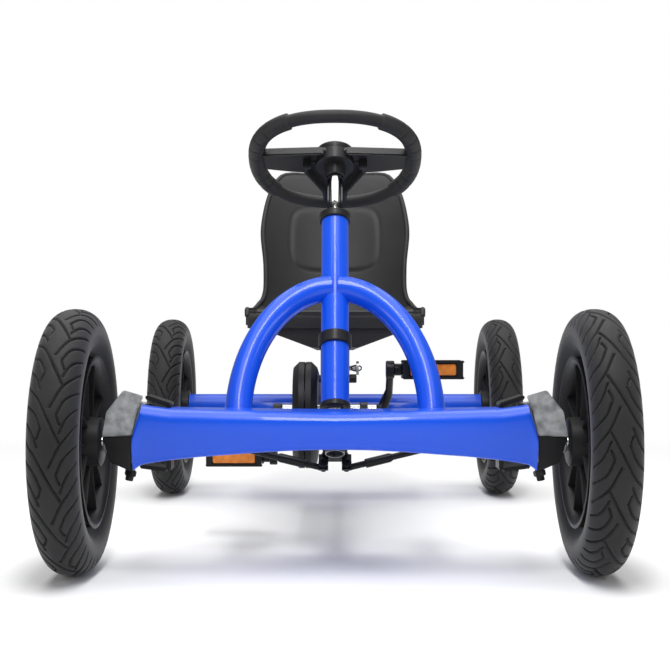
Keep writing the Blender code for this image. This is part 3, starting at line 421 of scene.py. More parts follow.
def make_wheels():
    """The four wheels share their meshes; those on the right are turned round."""
    tyre, rim, cap = tyre_mesh(), rim_mesh(), hub_cap_mesh()
    for end in ("front", "rear"):
        for side, word in SIDES:
            place = "_" + end + "_" + word
            body = "rear_axle" if place == "_rear_right" else "wheel" + place
            low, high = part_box("tyre" + place)
            centre = (low + high) / 2
            facing = Matrix.Translation(centre) @ Matrix.Rotation(0 if side > 0 else math.pi, 4, "Z")
            for mesh, kind, material, slot_name in (
                (tyre, "tyre", RUBBER, "tyre"), (rim, "rim", WHEEL,
                                                 "wheel_plastic"), (cap, "hub_cap", WHEEL, "wheel_plastic"),
            ):
                shown = mesh.copy()
                if kind != "hub_cap":
                    shown.transform(facing)
                else:
                    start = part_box("hub_cap" + place)[0 if side > 0 else 1].x
                    shown.transform(Matrix.Translation((start, centre.y,
                                                        centre.z)) @ facing.to_3x3().to_4x4())
                piece(kind + "_body" + place, shown, material, body, (kind + place,), 50)


# Frame


def smooth_path(points, steps=8):
    """A Catmull-Rom curve through the points."""
    points = [Vector(point) for point in points]
    ends = [2 * points[0] - points[1], *points, 2 * points[-1] - points[-2]]
    path = []
    for a, b, c, d in zip(ends, ends[1:], ends[2:], ends[3:]):
        for step in range(steps):
            t = step / steps
            path.append(0.5 * (2 * b + (c - a) * t + (2 * a - 5 * b + 4 * c - d) * t * t
                               + (3 * b - a - 3 * c + d) * t ** 3))
    return path + [points[-1]]


HEAD_LOW = 0.068  # foot of the head tube, along the column from the drop arm's pivots
HEAD_HIGH = HEAD_LOW + 0.268
HEAD_WALL = 0.003
RING_LOW = HEAD_LOW + 0.0806
BUSH_RADIUS = 0.0215


def make_column():
    """The head tube with the ring round it and the bushes in its two ends."""
    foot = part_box("head_tube")
    radius = (foot[1].x - foot[0].x) / 2
    length = HEAD_HIGH - HEAD_LOW
    profile = [(0, radius - HEAD_WALL), (0, radius), (length, radius), (length, radius - HEAD_WALL)]
    tube = turned(column(HEAD_LOW), COLUMN_UP, profile, 56)
    piece("head_tube_body", tube, PAINT, "frame", ("head_tube",))
    for name, place, height, wide in (
        ("column_ring_body", RING_LOW, 0.016, BUSH_RADIUS), ("upper_bush_body", HEAD_HIGH + 0.0003, 0.0105,
                                                             BUSH_RADIUS),
        ("lower_bush_body", HEAD_LOW - 0.008, 0.0077, 0.0195),
    ):
        inner = wide - 0.006
        profile = [(0, inner), (0, wide - 0.0012), (0.0012, wide), (height - 0.0012, wide),
                   (height, wide - 0.0012),
                   (height, 0.0108 if "upper" in name else inner)]
        node = name.replace("_body", "")
        piece(name, turned(column(place), COLUMN_UP, profile, 48), PLASTIC, "frame", (node,))


ARCH_RADIUS = 0.0165
ARCH_RISE = 0.158
ARCH_LEAN = 0.634  # how far back the arch goes for each metre up
ARCH_FOOT_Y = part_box("front_cross_plate")[0].y + ARCH_RADIUS


def make_arches():
    """Two tubes from the cross plate up to the column, each a quarter of one half-ellipse."""
    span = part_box("arch_tube_left")[1].x - ARCH_RADIUS
    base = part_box("front_cross_plate")[1].z - 0.006
    for side, word in SIDES:
        path = []
        for step in range(37):
            angle = math.radians(-1.5 + 89.5 * step / 36)
            z = base + ARCH_RISE * math.sin(angle)
            y = ARCH_FOOT_Y + ARCH_LEAN * (z - base)
            path.append((side * span * math.cos(angle), y, z))
        piece("arch_body_" + word, sweep(path, ARCH_RADIUS, 40), PAINT, "frame",
              ("arch_tube_" + word,))


MAIN_RADIUS = 0.0175
LOOP_RADIUS = 0.014
LOOP_BEND = 0.045
HOUSING_RADIUS = 0.022
HOUSING_WALL = 0.0025
BUSH_DEPTH = 0.014


def make_main_frame():
    """The main tube, the rear loop that it runs into, and the rear axle's two housings with their bushes."""
    z = middle("seat_lock_pin").z
    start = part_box("main_tube")[0].y
    loop_low, loop_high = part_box("rear_loop")
    loop_y, loop_z = loop_low.y + LOOP_RADIUS, middle("rear_loop").z
    path = [(0, start + (loop_y - 0.11 - start) * step / 10, z) for step in range(11)]
    path += [(0, loop_y - 0.085, z - 0.003), (0, loop_y - 0.06, z - 0.014), (0, loop_y - 0.03, z - 0.042),
             (0, loop_y - 0.004, loop_z + 0.006)]
    piece("main_tube_body", sweep(smooth_path(path, 4), MAIN_RADIUS, 32, up=(1, 0, 0)), PAINT, "frame",
          ("main_tube",))
    half = loop_high.x - LOOP_RADIUS
    rear = middle("axle_housing_left").y
    corner = []
    for step in range(13):
        angle = math.radians(90 * step / 12)
        corner.append((half - LOOP_BEND * (1 - math.sin(angle)),
                       loop_y + LOOP_BEND * (1 - math.cos(angle)), loop_z))
    side_run = [(half, loop_y + LOOP_BEND + (rear - loop_y - LOOP_BEND - 0.020) * step / 4, loop_z)
                for step in range(1, 5)]
    left = [(0.03, loop_y, loop_z)] + corner + side_run
    whole = [(-x, y, height) for x, y, height in reversed(left)] + left
    piece("rear_loop_body", sweep(whole, LOOP_RADIUS, 32), PAINT, "frame", ("rear_loop",))
    for side, word in SIDES:
        low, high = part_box("axle_housing_" + word)
        inner, outer = (low.x, high.x) if side > 0 else (high.x, low.x)
        length = abs(outer - inner)
        bore = HOUSING_RADIUS - HOUSING_WALL
        profile = [(0, bore), (0, HOUSING_RADIUS), (length, HOUSING_RADIUS), (length, bore)]
        shell = turned((inner, rear, middle("axle_housing_left").z), (side, 0, 0), profile, 48)
        piece("axle_housing_body_" + word, shell, PAINT, "frame", ("axle_housing_" + word,))
        bush = [(0, 0.012), (0, 0.0186), (0.014, 0.0186), (0.0145, 0.017), (0.0145, 0.0088)]
        ring = turned((outer - side * BUSH_DEPTH, rear, middle("axle_housing_left").z), (side, 0, 0), bush,
                      40)
        piece("axle_bush_body_" + word, ring, PLASTIC, "frame", ("axle_bush_" + word,))


def make_beam():
    """The pressed front beam: soft box sections that deepen outwards, with slanted ends and raised ears."""
    low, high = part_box("front_beam")
    level = middle("tyre_front_left").z
    front, rear, end = low.y, high.y, high.x
    stations = [
        (0.000, 0.0385, -0.0068), (0.040, 0.0388, -0.0076), (0.080, 0.0393,
                                                             -0.0095), (0.120, 0.0398, -0.0125),
        (0.160, 0.0405, -0.0155), (0.192, 0.0412, -0.0190), (0.214, 0.0440,
                                                             -0.0222), (0.2265, 0.0458, -0.0245),
        (0.2320, 0.0300, -0.0280), (end, 0.0160, -0.0312),
    ]
    xs = np.linspace(-end, end, 97)
    tops = np.interp(np.abs(xs), [s[0] for s in stations], [s[1] for s in stations])
    bottoms = np.interp(np.abs(xs), [s[0] for s in stations], [s[2] for s in stations])
    rings = []
    for x, top, bottom in zip(xs, tops, bottoms):
        back = rear if abs(x) < POCKET_X else rear - 0.0405
        crown = 0.004 * max(0.0, 1 - abs(x) / 0.16)
        outline = beam_outline(front, back, level + bottom, level + top, crown)
        rings.append([(x, y, z) for y, z in outline])
    piece("beam_body", loft(rings), PAINT, "front_axle", ("front_beam",), 40)


POCKET_X = 0.193


def beam_outline(front, back, bottom, top, crown):
    """The beam's section: a round top edge, a face that leans and bulges, a tight lower edge."""
    points = []
    height = top - bottom
    for angle in np.linspace(90, 180, 9):
        a = math.radians(angle)
        points.append((front + 0.020 + 0.020 * math.cos(a),
                       top - 0.014 + 0.014 * math.sin(a) - crown * math.sin(a) * 0.5))
    for share in np.linspace(0.2, 0.9, 6):
        points.append((front + 0.0035 * share ** 2 * 2, top - 0.014 - (height - 0.022) * share))
    for angle in np.linspace(180, 270, 7):
        a = math.radians(angle)
        points.append((front + 0.015 + 0.008 * math.cos(a), bottom + 0.008 + 0.008 * math.sin(a)))
    points += [(back - 0.006, bottom), (back - 0.002, bottom + 0.002), (back, bottom + 0.006),
               (back, top - 0.006),
               (back - 0.002, top - 0.002), (back - 0.006, top)]
    return points


def plain_nodes():
    """The machined and pressed pieces whose own shape shows: they take their finish here."""
    finishes = (
        (PAINT, "front_cross_plate bottom_bracket_shell"),
        (PLASTIC, "bottom_bracket_bush_left bottom_bracket_bush_right swing_bush"),
        (DARK_METAL, "kingpin_left kingpin_right pitman_arm seat_saddle tie_rod_left tie_rod_right"),
        (ZINC, "swing_pivot_pin chain chainring rear_sprocket seat_lock_pin"),
        (STEEL, "rear_shaft steering_shaft"),
    )
    for material, names in finishes:
        for name in names.split():
            mesh = nodes[name].data
            mesh.materials.clear()
            mesh.materials.append(material)
            mesh.shade_smooth()
            mesh.set_sharp_from_angle(angle=math.radians(35))


# Front axle


def make_yokes():
    """Bent plates over and under each knuckle, leaning with the kingpin."""
    y = middle("tyre_front_left").y
    for side, word in SIDES:
        for name, corners, thickness in (
            ("upper", ((0.1960, 0.2010), (0.2250, 0.2107)), 0.0050), ("lower",
                                                                      ((0.1990, 0.1245),
                                                                       (0.2310, 0.1286)), 0.0045),
        ):
            (x0, z0), (x1, z1) = corners
            flat = [Vector((side * x, y + dy, z)) for x, z,
                    dy in ((x0, z0, -0.022), (x1, z1, -0.022), (x1, z1, 0.014), (x0, z0, 0.014))]
            rise = Vector((-side * (z1 - z0), 0, x1 - x0)).normalized()
            piece("yoke_" + name + "_" + word, slab(flat, rise, thickness, 0.0012), DARK_METAL, "front_axle",
                  ("yoke_" + word,) if name == "upper" else ())
        web = block((min(side * 0.194, side * 0.1995), y - 0.021, 0.1265),
                    (max(side * 0.194, side * 0.1995), y + 0.013, 0.2040))
        piece("yoke_web_" + word, web, DARK_METAL, "front_axle")


def make_knuckles():
    """A folded plate round each kingpin: galvanised above the fold, black below it, with the stub's boss."""
    y = middle("tyre_front_left").y
    z = middle("tyre_front_left").z
    for side, word in SIDES:
        body = "knuckle_" + word
        upper = ((0.2415, 0.1668, -0.020), (0.2760, 0.1655, -0.020), (0.2720, 0.1950, -0.013),
                 (0.2530, 0.2205, -0.006),
                 (0.2290, 0.2135, -0.006), (0.2360, 0.1950, -0.012))
        lower = ((0.2415, 0.1668, -0.020), (0.2760, 0.1655, -0.020), (0.2672, 0.1347, -0.012),
                 (0.2425, 0.1235, -0.010))
        for name, outline, material, depth in (("upper", upper, ZINC, 0.005),
                                               ("lower", lower, DARK_METAL, 0.016)):
            face = [Vector((side * x, y + dy, height)) for x, height, dy in outline]
            shell = slab(face, (0, 1, 0), depth, 0.0012)
            piece("knuckle_" + name + "_" + word, shell, material, body,
                  (body,) if name == "upper" else ())
        flank = [Vector((side * x, y + dy, height)) for x, height, dy in (
            (0.2715, 0.1655, -0.018), (0.2675, 0.1950, -0.011), (0.2675, 0.1950,
                                                                 0.010), (0.2715, 0.1655, 0.012))]
        piece("knuckle_flank_" + word, slab(flank, (side, 0, 0.1), 0.004, 0.0008), ZINC, body)
        boss = turned((side * 0.262, y, z), (side, 0, 0),
                      [(0, 0.0135), (0.013, 0.0135), (0.0145, 0.012), (0.0145, 0.007)], 32)
        piece("stub_boss_" + word, boss, ZINC, body)
        stub = rounded_rod((side * 0.27, y, z), (side * 0.3325, y, z), 0.006)
        piece("stub_axle_" + word, stub, STEEL, body)
        pin_low, pin_high = kingpin(side, 0.1345), kingpin(side, 0.2055)
        piece("knuckle_barrel_" + word, rounded_rod(pin_low, pin_high, 0.0095), ZINC, body)
        root, tip = kingpin(side, 0.181) + Vector((0, 0.004, 0)), Vector((side * 0.2208, y + 0.060, 0.1832))
        arm = sweep([root, root.lerp(tip, 0.5) + Vector((0, 0, 0.001)), tip], 0.0065, 16)
        piece("knuckle_arm_" + word, arm, ZINC, body)
        eye = turned(tip - Vector((0, 0, 0.004)), (-side * 0.37, 0, 1),
                     [(0, 0.0085), (0.008, 0.0085), (0.009, 0.0075), (0.009, 0.0002)], 24)
        piece("knuckle_eye_" + word, eye, ZINC, body)
        nut = hex_nut(kingpin(side, 0.1240), kingpin(side, 0.10) - kingpin(side, 0.12), 0.0075, 0.0065)
        piece("kingpin_nut_" + word, nut, DARK_METAL, "front_axle", ("kingpin_" + word,))
        end = rounded_rod(kingpin(side, 0.1120), kingpin(side, 0.1340), 0.0048)
        piece("kingpin_end_" + word, end, DARK_METAL, "front_axle")


KINGPIN_PLACE, KINGPIN_AXIS = joint("kingpin_left")


def kingpin(side, z):
    """The point of a kingpin's line at a height."""
    point = KINGPIN_PLACE + KINGPIN_AXIS * (z - KINGPIN_PLACE.z) / KINGPIN_AXIS.z
    return Vector((side * point.x, point.y, point.z))


def make_linkage_trim():
    """The two screws that face forward through the drop arm's ears, and the thicker ends of the tie rods."""
    for side, word in SIDES:
        spot = column(0, 0.0285, side * 0.0145)
        head = screw_head(spot, -COLUMN_BACK, 0.0062, 0.0045)
        piece("ear_screw_" + word, head, DARK_METAL, "steering")
        inner = column(0, 0.045, side * 0.0145)
        outer = Vector((side * 0.225, -0.35, 0.172))
        run = (outer - inner).normalized()
        for name, share in (("inner", 0.024), ("outer", (outer - inner).length - 0.050)):
            start = inner + run * share
            sleeve = turned(start, run, [(0, 0.004), (0.001, 0.0058), (0.032, 0.0058), (0.036, 0.0041)], 20)
            piece("tie_rod_" + name + "_" + word, sleeve, DARK_METAL, "tie_rod_" + word)


# Steering wheel


WHEEL_CENTRE = 0.4384  # along the column from the drop arm's pivots to the rim's plane
WHEEL_HALF = 0.108
WHEEL_TOP = 0.098
WHEEL_BOTTOM = 0.108
STEM_HIDDEN = 0.148  # from the head tube's foot up to the stem's end inside it
STEM_RADIUS = 0.0103


def on_wheel(across, up, along=0.0):
    """A point of the steering wheel, from its centre and in its own plane."""
    return column(WHEEL_CENTRE + along, -up, across)


def rim_place(angle):
    """The grip's centre line, flatter across its top, as (across, up)."""
    across = WHEEL_HALF * math.copysign(abs(math.cos(angle)) ** 0.86, math.cos(angle))
    reach, power = (WHEEL_TOP, 0.80) if math.sin(angle) > 0 else (WHEEL_BOTTOM, 0.9)
    return across, reach * math.copysign(abs(math.sin(angle)) ** power, math.sin(angle))


def make_steering_wheel():
    """The ribbed rim, its spokes and channel, the hub with its pad, and the stem below."""
    turns = [math.tau * step / 288 for step in range(288)]
    rings = []
    for angle in turns:
        across, up = rim_place(angle)
        ahead = Vector(on_wheel(*rim_place(angle + 0.004))) - Vector(on_wheel(*rim_place(angle - 0.004)))
        gripped = -0.075 <= up < 0.0865
        radius = 0.0113 if gripped else 0.0088
        ribs = (0.066, 0.049, 0.032, 0.015, -0.002, -0.019, -0.036, -0.053)
        if gripped and min(abs(up - rib) for rib in ribs) < 0.0012:
            radius = 0.0104
        rings.append(circle(on_wheel(across, up), ahead, radius, 28, COLUMN_UP))
    piece("wheel_rim", loft(rings, closed=True), GRIP, "steering_wheel",
          ("steering_wheel",), 40)
    parts = []
    for side in (1, -1):
        wing = [(0.012, 0.0255), (0.060, 0.0235), (0.102, 0.0215), (0.103, -0.0190), (0.062, -0.0265),
                (0.040, -0.0290), (0.012, -0.0290)]
        corners = [on_wheel(side * x, up, -0.0035) for x, up in wing]
        parts.append(slab(corners, COLUMN_UP, 0.0065, 0.0015))
        edge = [(0.016, 0.0262), (0.060, 0.0240), (0.101, 0.0220), (0.101, 0.0165), (0.060, 0.0185),
                (0.016, 0.0207)]
        parts.append(slab([on_wheel(side * x, up, -0.0090) for x, up in edge], COLUMN_UP, 0.0125, 0.0016))
        flange = [(0.0435, 0.0010), (0.0435, -0.0090), (0.0175, -0.0600), (0.0150, -0.0985),
                  (0.0105, -0.0985),
                  (0.0125, -0.0600), (0.0375, -0.0100), (0.0375, 0.0010)]
        parts.append(slab([on_wheel(side * x, up, -0.0165) for x, up in flange], COLUMN_UP, 0.0185, 0.0013))
        corner = [(0.0440, 0.0065), (0.0440, -0.0025), (0.0330, -0.0025), (0.0330, 0.0065)]
        parts.append(slab([on_wheel(side * x, up, -0.0168) for x, up in corner], COLUMN_UP, 0.0185, 0.0013))
    tray = [(0.040, 0.002), (0.0400, -0.0095), (0.0150, -0.0600), (0.0130, -0.0990), (-0.0130, -0.0990),
            (-0.0150, -0.0600), (-0.0400, -0.0095), (-0.040, 0.002)]
    parts.append(slab([on_wheel(x, up, -0.0045) for x, up in tray], COLUMN_UP, 0.0080, 0.0012))
    piece("wheel_spokes", merged(parts), PLASTIC, "steering_wheel")
    drum = turned(on_wheel(0, 0, -0.0139), COLUMN_UP,
                  [(0, 0.022), (0, 0.0255), (0.001, 0.0265), (0.0179, 0.0265)], 64)
    piece("wheel_hub", drum, PLASTIC, "steering_wheel")
    cap = turned(on_wheel(0, 0, 0.0042), COLUMN_UP,
                 [(0, 0.0262), (0.0010, 0.0265), (0.0070, 0.0265), (0.0088, 0.0252), (0.0093, 0.0225),
                  (0.0093, 0.0002)], 64)
    piece("wheel_cap", cap, PLASTIC, "steering_wheel", ("steering_hub_pad",))
    socket = turned(on_wheel(0, 0, -0.0300), COLUMN_UP,
                    [(0, 0.0112), (0, 0.0135), (0.0165, 0.0155), (0.0165, 0.0112)], 40, closed=True)
    piece("wheel_socket", socket, PLASTIC, "steering_wheel")
    low = HEAD_LOW + STEM_HIDDEN
    stem = rounded_rod(column(low), column(WHEEL_CENTRE - 0.0145), STEM_RADIUS, 0.0006, 48)
    piece("stem", stem, CHROME, "steering_wheel", ("steering_stem",))


# Seat


def seat_sheet(along, across):
    """(point, inward normal) of the seat's skin before its mouldings."""
    stations = SEAT_STATIONS
    places = [station[0] for station in stations]
    y, z, half, rise = (np.interp(along, places, [station[k] for station in stations]) for k in (1, 2, 3, 4))
    step = 0.012
    ahead = [np.interp(min(1, along + step), places, [station[k] for station in stations]) for k in (1, 2)]
    behind = [np.interp(max(0, along - step), places, [station[k] for station in stations]) for k in (1, 2)]
    run = Vector((0, ahead[0] - behind[0], ahead[1] - behind[1])).normalized()
    inward = Vector((0, -run.z, run.y))
    return Vector((across * half, SEAT_FRONT + y, z)) + inward * rise * abs(across) ** 2.5, inward


def smooth_stations(stations, steps=6):
    """The stations with a smooth curve through them."""
    rows = [Vector(station[:3]) for station in stations], [Vector(station[2:]) for station in stations]
    first = smooth_path(rows[0], steps)
    second = smooth_path(rows[1], steps)
    return [(max(0, min(1, a[0])), a[1], a[2], b[1], max(0.0, b[2])) for a, b in zip(first, second)]


SEAT_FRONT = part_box("seat_shell")[0].y
SEAT_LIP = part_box("tyre_front_left")[1].z / 2 + 0.164
SEAT_TOP = SEAT_LIP + 0.253
SEAT_STATIONS = smooth_stations((
    (0.00, 0.002, SEAT_LIP - 0.024, 0.1370, 0.004), (0.03, 0.003, SEAT_LIP - 0.004, 0.1385, 0.003),
    (0.07, 0.016, SEAT_LIP + 0.002, 0.1395, 0.004), (0.14, 0.045, SEAT_LIP - 0.010, 0.1395, 0.012),
    (0.26, 0.110, SEAT_LIP - 0.024, 0.137, 0.030), (0.38, 0.165, SEAT_LIP - 0.020, 0.128, 0.042),
    (0.48, 0.200, SEAT_LIP + 0.015, 0.119, 0.046), (0.60, 0.222, SEAT_LIP + 0.070, 0.119, 0.046),
    (0.74, 0.243, SEAT_LIP + 0.130, 0.125, 0.044), (0.84, 0.259, SEAT_LIP + 0.182, 0.120, 0.032),
    (0.91, 0.270, SEAT_LIP + 0.218, 0.111, 0.020), (0.96, 0.279, SEAT_LIP + 0.240, 0.100, 0.010),
    (0.985, 0.285, SEAT_LIP + 0.2495, 0.090, 0.005), (1.00, 0.289, SEAT_TOP, 0.074, 0.003),
))


def seat_relief(along, across):
    """How far the skin is pushed in (+) or raised (-) by the headrest's groove and the two panels."""
    x = abs(across)
    depth = 0.0
    groove = 0.905 - 0.028 * math.exp(-((x - 0.42) / 0.30) ** 2) + 0.010 * x
    depth += 0.0026 * math.exp(-((along - groove) / 0.0065) ** 2) * (x < 0.90)
    for centre, half_length, half_width in ((0.735, 0.115, 0.60), (0.245, 0.10, 0.62)):
        ux = abs(across) / half_width
        uy = abs(along - centre) / half_length
        ring = (ux ** 6 + uy ** 6) ** (1 / 6)
        depth -= 0.0022 / (1 + math.exp((ring - 1) * 34))
        depth += 0.0012 * math.exp(-((ring - 1.05) / 0.035) ** 2)
    return depth


def make_seat():
    """The moulded skin with its two faces joined round the rim, the rolled edge and the underside."""
    rows, columns, shell = 150, 84, 0.0022
    inner, outer = [], []
    for row in range(rows + 1):
        along = row / rows
        inner_row, outer_row = [], []
        for place in range(columns + 1):
            across = 2 * place / columns - 1
            point, inward = seat_sheet(along, across)
            side_lean = Vector((-across * 0.6 * abs(across) ** 1.5, 0, 0))
            normal = (inward + side_lean).normalized()
            inner_row.append(point + normal * (shell - seat_relief(along, across)))
            outer_row.append(point - normal * shell)
        inner.append(inner_row)
        outer.append(outer_row)
    width = columns + 1
    points = [point for row in inner for point in row] + [point for row in outer for point in row]
    shift = len(points) // 2
    faces = []
    for row in range(rows):
        for place in range(columns):
            a, b = row * width + place, (row + 1) * width + place
            faces.append((a, a + 1, b + 1, b))
            faces.append((shift + a, shift + b, shift + b + 1, shift + a + 1))
    rim = [row * width for row in range(rows + 1)] + [rows * width + place for place in range(1, width)]
    rim += [row * width + columns
            for row in range(rows - 1, -1, -1)] + [place for place in range(columns - 1, 0, -1)]
    for a, b in zip(rim, rim[1:] + rim[:1]):
        faces.append((a, b, shift + b, shift + a))
    piece("seat_skin", mesh_of(points, faces), SEAT, "seat", ("seat_shell",), 50)
    bead = [(inner[row][0] + outer[row][0]) / 2 for row in range(4, rows + 1, 2)]
    bead += [(inner[rows][place] + outer[rows][place]) / 2 for place in range(2, columns, 2)]
    bead += [(inner[row][columns] + outer[row][columns]) / 2 for row in range(rows, 3, -2)]
    piece("seat_edge", sweep(bead, 0.0042, 14, up=(1, 0, 0)), SEAT, "seat", (), 50)
    make_seat_underside()


def make_seat_underside():
    """The lip's grey band, the corner caps, and the pan's tapering underside down to its keel."""
    lip = SEAT_LIP
    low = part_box("seat_saddle")[1].z + 0.0006
    band = [(-0.136, lip - 0.0135), (0.136, lip - 0.0135), (0.1365, lip + 0.002), (-0.1365, lip + 0.002)]
    rings = []
    for forward, shrink in ((0.0035, 0.0025), (0.0, 0.0), (-0.010, 0.0)):
        rings.append([Vector((x * (1 - shrink), SEAT_FRONT + 0.004 - forward, z)) for x, z in band])
    piece("seat_lip", loft(rings), SEAT, "seat")
    sections = []
    outline = ((-0.1365, -0.0140), (-0.1360, -0.0220), (-0.0925, -0.0345), (-0.0385, low - lip),
               (0.0385, low - lip),
               (0.0925, -0.0345), (0.1360, -0.0220), (0.1365, -0.0140))
    for back, width, lift in ((0.004, 1.0, 0.0), (0.060, 0.97, 0.0), (0.125, 0.90, 0.002),
                              (0.165, 0.80, 0.010)):
        sections.append([Vector((x * width, SEAT_FRONT + back, lip + z * (1 - lift * 8) - lift)) for x,
                         z in outline])
    piece("seat_pan", loft(sections), SEAT, "seat", (), 30)
    for side, word in SIDES:
        xs = sorted((side * 0.1185, side * 0.1412))
        cap = block((xs[0], SEAT_FRONT - 0.0005, lip - 0.0245), (xs[1], SEAT_FRONT + 0.050, lip + 0.0085),
                    0.0055)
        piece("seat_corner_" + word, cap, SEAT, "seat")


# Drive


def stadium(centres, radii, sides=40):
    """Points round two circles and the straight runs that join them, as (y, z)."""
    (y0, z0), (y1, z1) = centres
    gap = math.hypot(y1 - y0, z1 - z0)
    heading = math.atan2(z1 - z0, y1 - y0)
    spread = math.acos((radii[0] - radii[1]) / gap)
    points = []
    for (y, z), radius, start, end in ((centres[0], radii[0], heading + spread, heading + math.tau - spread),
                                       (centres[1], radii[1], heading - spread, heading + spread)):
        for step in range(sides + 1):
            angle = start + (end - start) * step / sides
            points.append((y + radius * math.cos(angle), z + radius * math.sin(angle)))
    return points


def make_chain_case():
    """Two halves that meet at a seam, each a rounded stadium with a chamfer and a dished side."""
    box_low, box_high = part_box("chain_case_outer")
    inner_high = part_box("chain_case_inner")[1].x
    seam = box_high.x + 0.00015
    crank, axle = joint("crank_spin")[0], joint("rear_axle_spin")[0]
    centres = ((crank.y, crank.z), (axle.y, axle.z))
    front = crank.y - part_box("chain_case_inner")[0].y
    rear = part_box("chain_case_inner")[1].y - axle.y
    for side, edge, word in ((-1, box_low.x, "outer"), (1, inner_high, "inner")):
        reach = abs(edge - seam)
        rings = []
        for share, inset in ((0.012, 0.0012), (0.05, 0.0), (0.50, 0.0), (0.56, 0.0008), (0.96, 0.0072),
                             (1.0, 0.0086)):
            x = seam + side * reach * share
            rings.append([Vector((x, y, z)) for y, z in stadium(centres, (front - inset, rear - inset))])
        x = seam + side * reach
        for inset, dish in ((0.013, 0.0), (0.0145, -0.0012), (0.020, -0.0012)):
            rings.append([Vector((x + side * dish, y, z)) for y,
                          z in stadium(centres, (front - inset, rear - inset))])
        piece("chain_case_body_" + word, loft(rings), CASE, "frame",
              ("chain_case_" + word,), 30)


def make_crank():
    """The sleeve with its collar, the two cranked arms, and the pedals with their reflectors."""
    axis = joint("crank_spin")[0]
    low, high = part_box("crank_axle")
    sleeve = [(0, 0.0115), (0.001, 0.0145), (high.x - low.x - 0.001, 0.0145), (high.x - low.x, 0.0115)]
    piece("crank_sleeve", turned((low.x, axis.y, axis.z), (1, 0, 0), sleeve, 48), STEEL, "crank",
          ("crank_axle",))
    low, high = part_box("crank_collar")
    ring = [(0, 0.0148), (0, 0.0165), (0.001, 0.0175), (high.x - low.x - 0.001, 0.0175),
            (high.x - low.x, 0.0165), (high.x - low.x, 0.0148)]
    piece("crank_collar_body", turned((low.x, axis.y, axis.z), (1, 0, 0), ring, 48), PLASTIC, "crank",
          ("crank_collar",))
    for side, word in SIDES:
        place = joint("pedal_spin_" + word)[0]
        root = Vector((axis.x + side * 0.0695, axis.y, axis.z))
        tip = Vector((axis.x + side * 0.0790, place.y, place.z))
        run = (tip - root).normalized()
        across = run.cross(Vector((1, 0, 0))).normalized()
        rings = []
        for share, half, thick in ((-0.02, 0.010, 0.0048), (0.05, 0.0118, 0.0052), (0.18, 0.0105, 0.0050),
                                   (0.5, 0.0085, 0.0046),
                                   (0.85, 0.0085, 0.0046), (0.97, 0.0105, 0.0050), (1.06, 0.0080, 0.0046)):
            bend = min(1, max(0, (share - 0.1) / 0.35))
            middle_point = Vector((root.x + (tip.x - root.x) * bend, *(root.lerp(tip, share)).yz))
            rings.append([middle_point + across * half * math.copysign(abs(math.cos(a)) ** 0.5, math.cos(a)) +
                          Vector((1, 0, 0)) * thick * math.copysign(abs(math.sin(a)) ** 0.5, math.sin(a))
                          for a in [math.tau * step / 24 for step in range(24)]])
        arm = [loft(rings)]
        arm.append(turned((root.x - side * 0.0055, root.y, root.z), (side, 0, 0),
                          [(0, 0.0145), (0.001, 0.0155), (0.011, 0.0155), (0.012, 0.0140),
                           (0.012, 0.008)], 40))
        arm.append(turned((tip.x - side * 0.0055, tip.y, tip.z), (side, 0, 0),
                          [(0, 0.0105), (0.001, 0.0115), (0.010, 0.0115), (0.0110, 0.0100),
                           (0.0110, 0.0002)], 32))
        arm.append(turned((tip.x + side * 0.0055, tip.y, tip.z), (side, 0, 0),
                          [(0, 0.0078), (0.0085, 0.0078), (0.0095, 0.0065), (0.0095, 0.0002)], 24))
        piece("crank_arm_body_" + word, merged(arm), DARK_METAL, "crank",
              ("crank_arm_" + word,))
        make_pedal(word)


def make_pedal(word):
    """A ribbed frame round its spindle's sleeve, with an amber reflector at the front and the back."""
    low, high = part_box("pedal_" + word)
    y, z = (low.y + high.y) / 2, (low.z + high.z) / 2
    parts = []
    body = "pedal_" + word
    for front in (-1, 1):
        edge = low.y if front < 0 else high.y
        ys = sorted((edge, edge - front * 0.0070))
        for z0, z1 in ((low.z, low.z + 0.0034), (high.z - 0.0034, high.z)):
            parts.append(block((low.x + 0.0005, ys[0], z0), (high.x, ys[1], z1), 0.0010))
        for x0, x1 in ((low.x + 0.001, low.x + 0.0092), (high.x - 0.0092, high.x - 0.0015)):
            parts.append(block((x0, ys[0] + 0.0005, low.z + 0.001), (x1, ys[1], high.z - 0.001), 0.0010))
        lens_y = sorted((edge - front * 0.0012, edge - front * 0.0045))
        lens = block((low.x + 0.0105, lens_y[0], low.z + 0.0048),
                     (high.x - 0.0105, lens_y[1], high.z - 0.0048), 0.0010)
        piece("reflector_" + ("front_" if front < 0 else "rear_") + word, lens, AMBER, body)
        back_y = sorted((edge - front * 0.0048, edge - front * 0.0070))
        parts.append(block((low.x + 0.004, back_y[0], low.z + 0.003),
                           (high.x - 0.004, back_y[1], high.z - 0.003), 0.0006))
    for x0 in (low.x + 0.001, high.x - 0.0095):
        parts.append(block((x0, low.y + 0.001, low.z + 0.0015),
                           (x0 + 0.008, high.y - 0.001, high.z - 0.0015), 0.0012))
    for rib in range(5):
        x0 = low.x + 0.017 + rib * (high.x - low.x - 0.034 - 0.003) / 4
        parts.append(block((x0, low.y + 0.006, low.z + 0.0006),
                           (x0 + 0.003, high.y - 0.006, high.z - 0.0006), 0.0007))
    for ahead in (-0.006, 0.006):
        parts.append(block((low.x + 0.004, y + ahead - 0.0012, low.z + 0.002),
                           (high.x - 0.004, y + ahead + 0.0012, high.z - 0.002), 0.0006))
    parts.append(turned((low.x + 0.0006, y, z), (1, 0, 0), [(0, 0.0062), (0, 0.0085),
                                                            (high.x - low.x - 0.0012,
                                                             0.0085), (high.x - low.x - 0.0012,
                                                                       0.0062)], 28, closed=True))
    piece("pedal_body_" + word, merged(parts), PLASTIC, body, (body,))


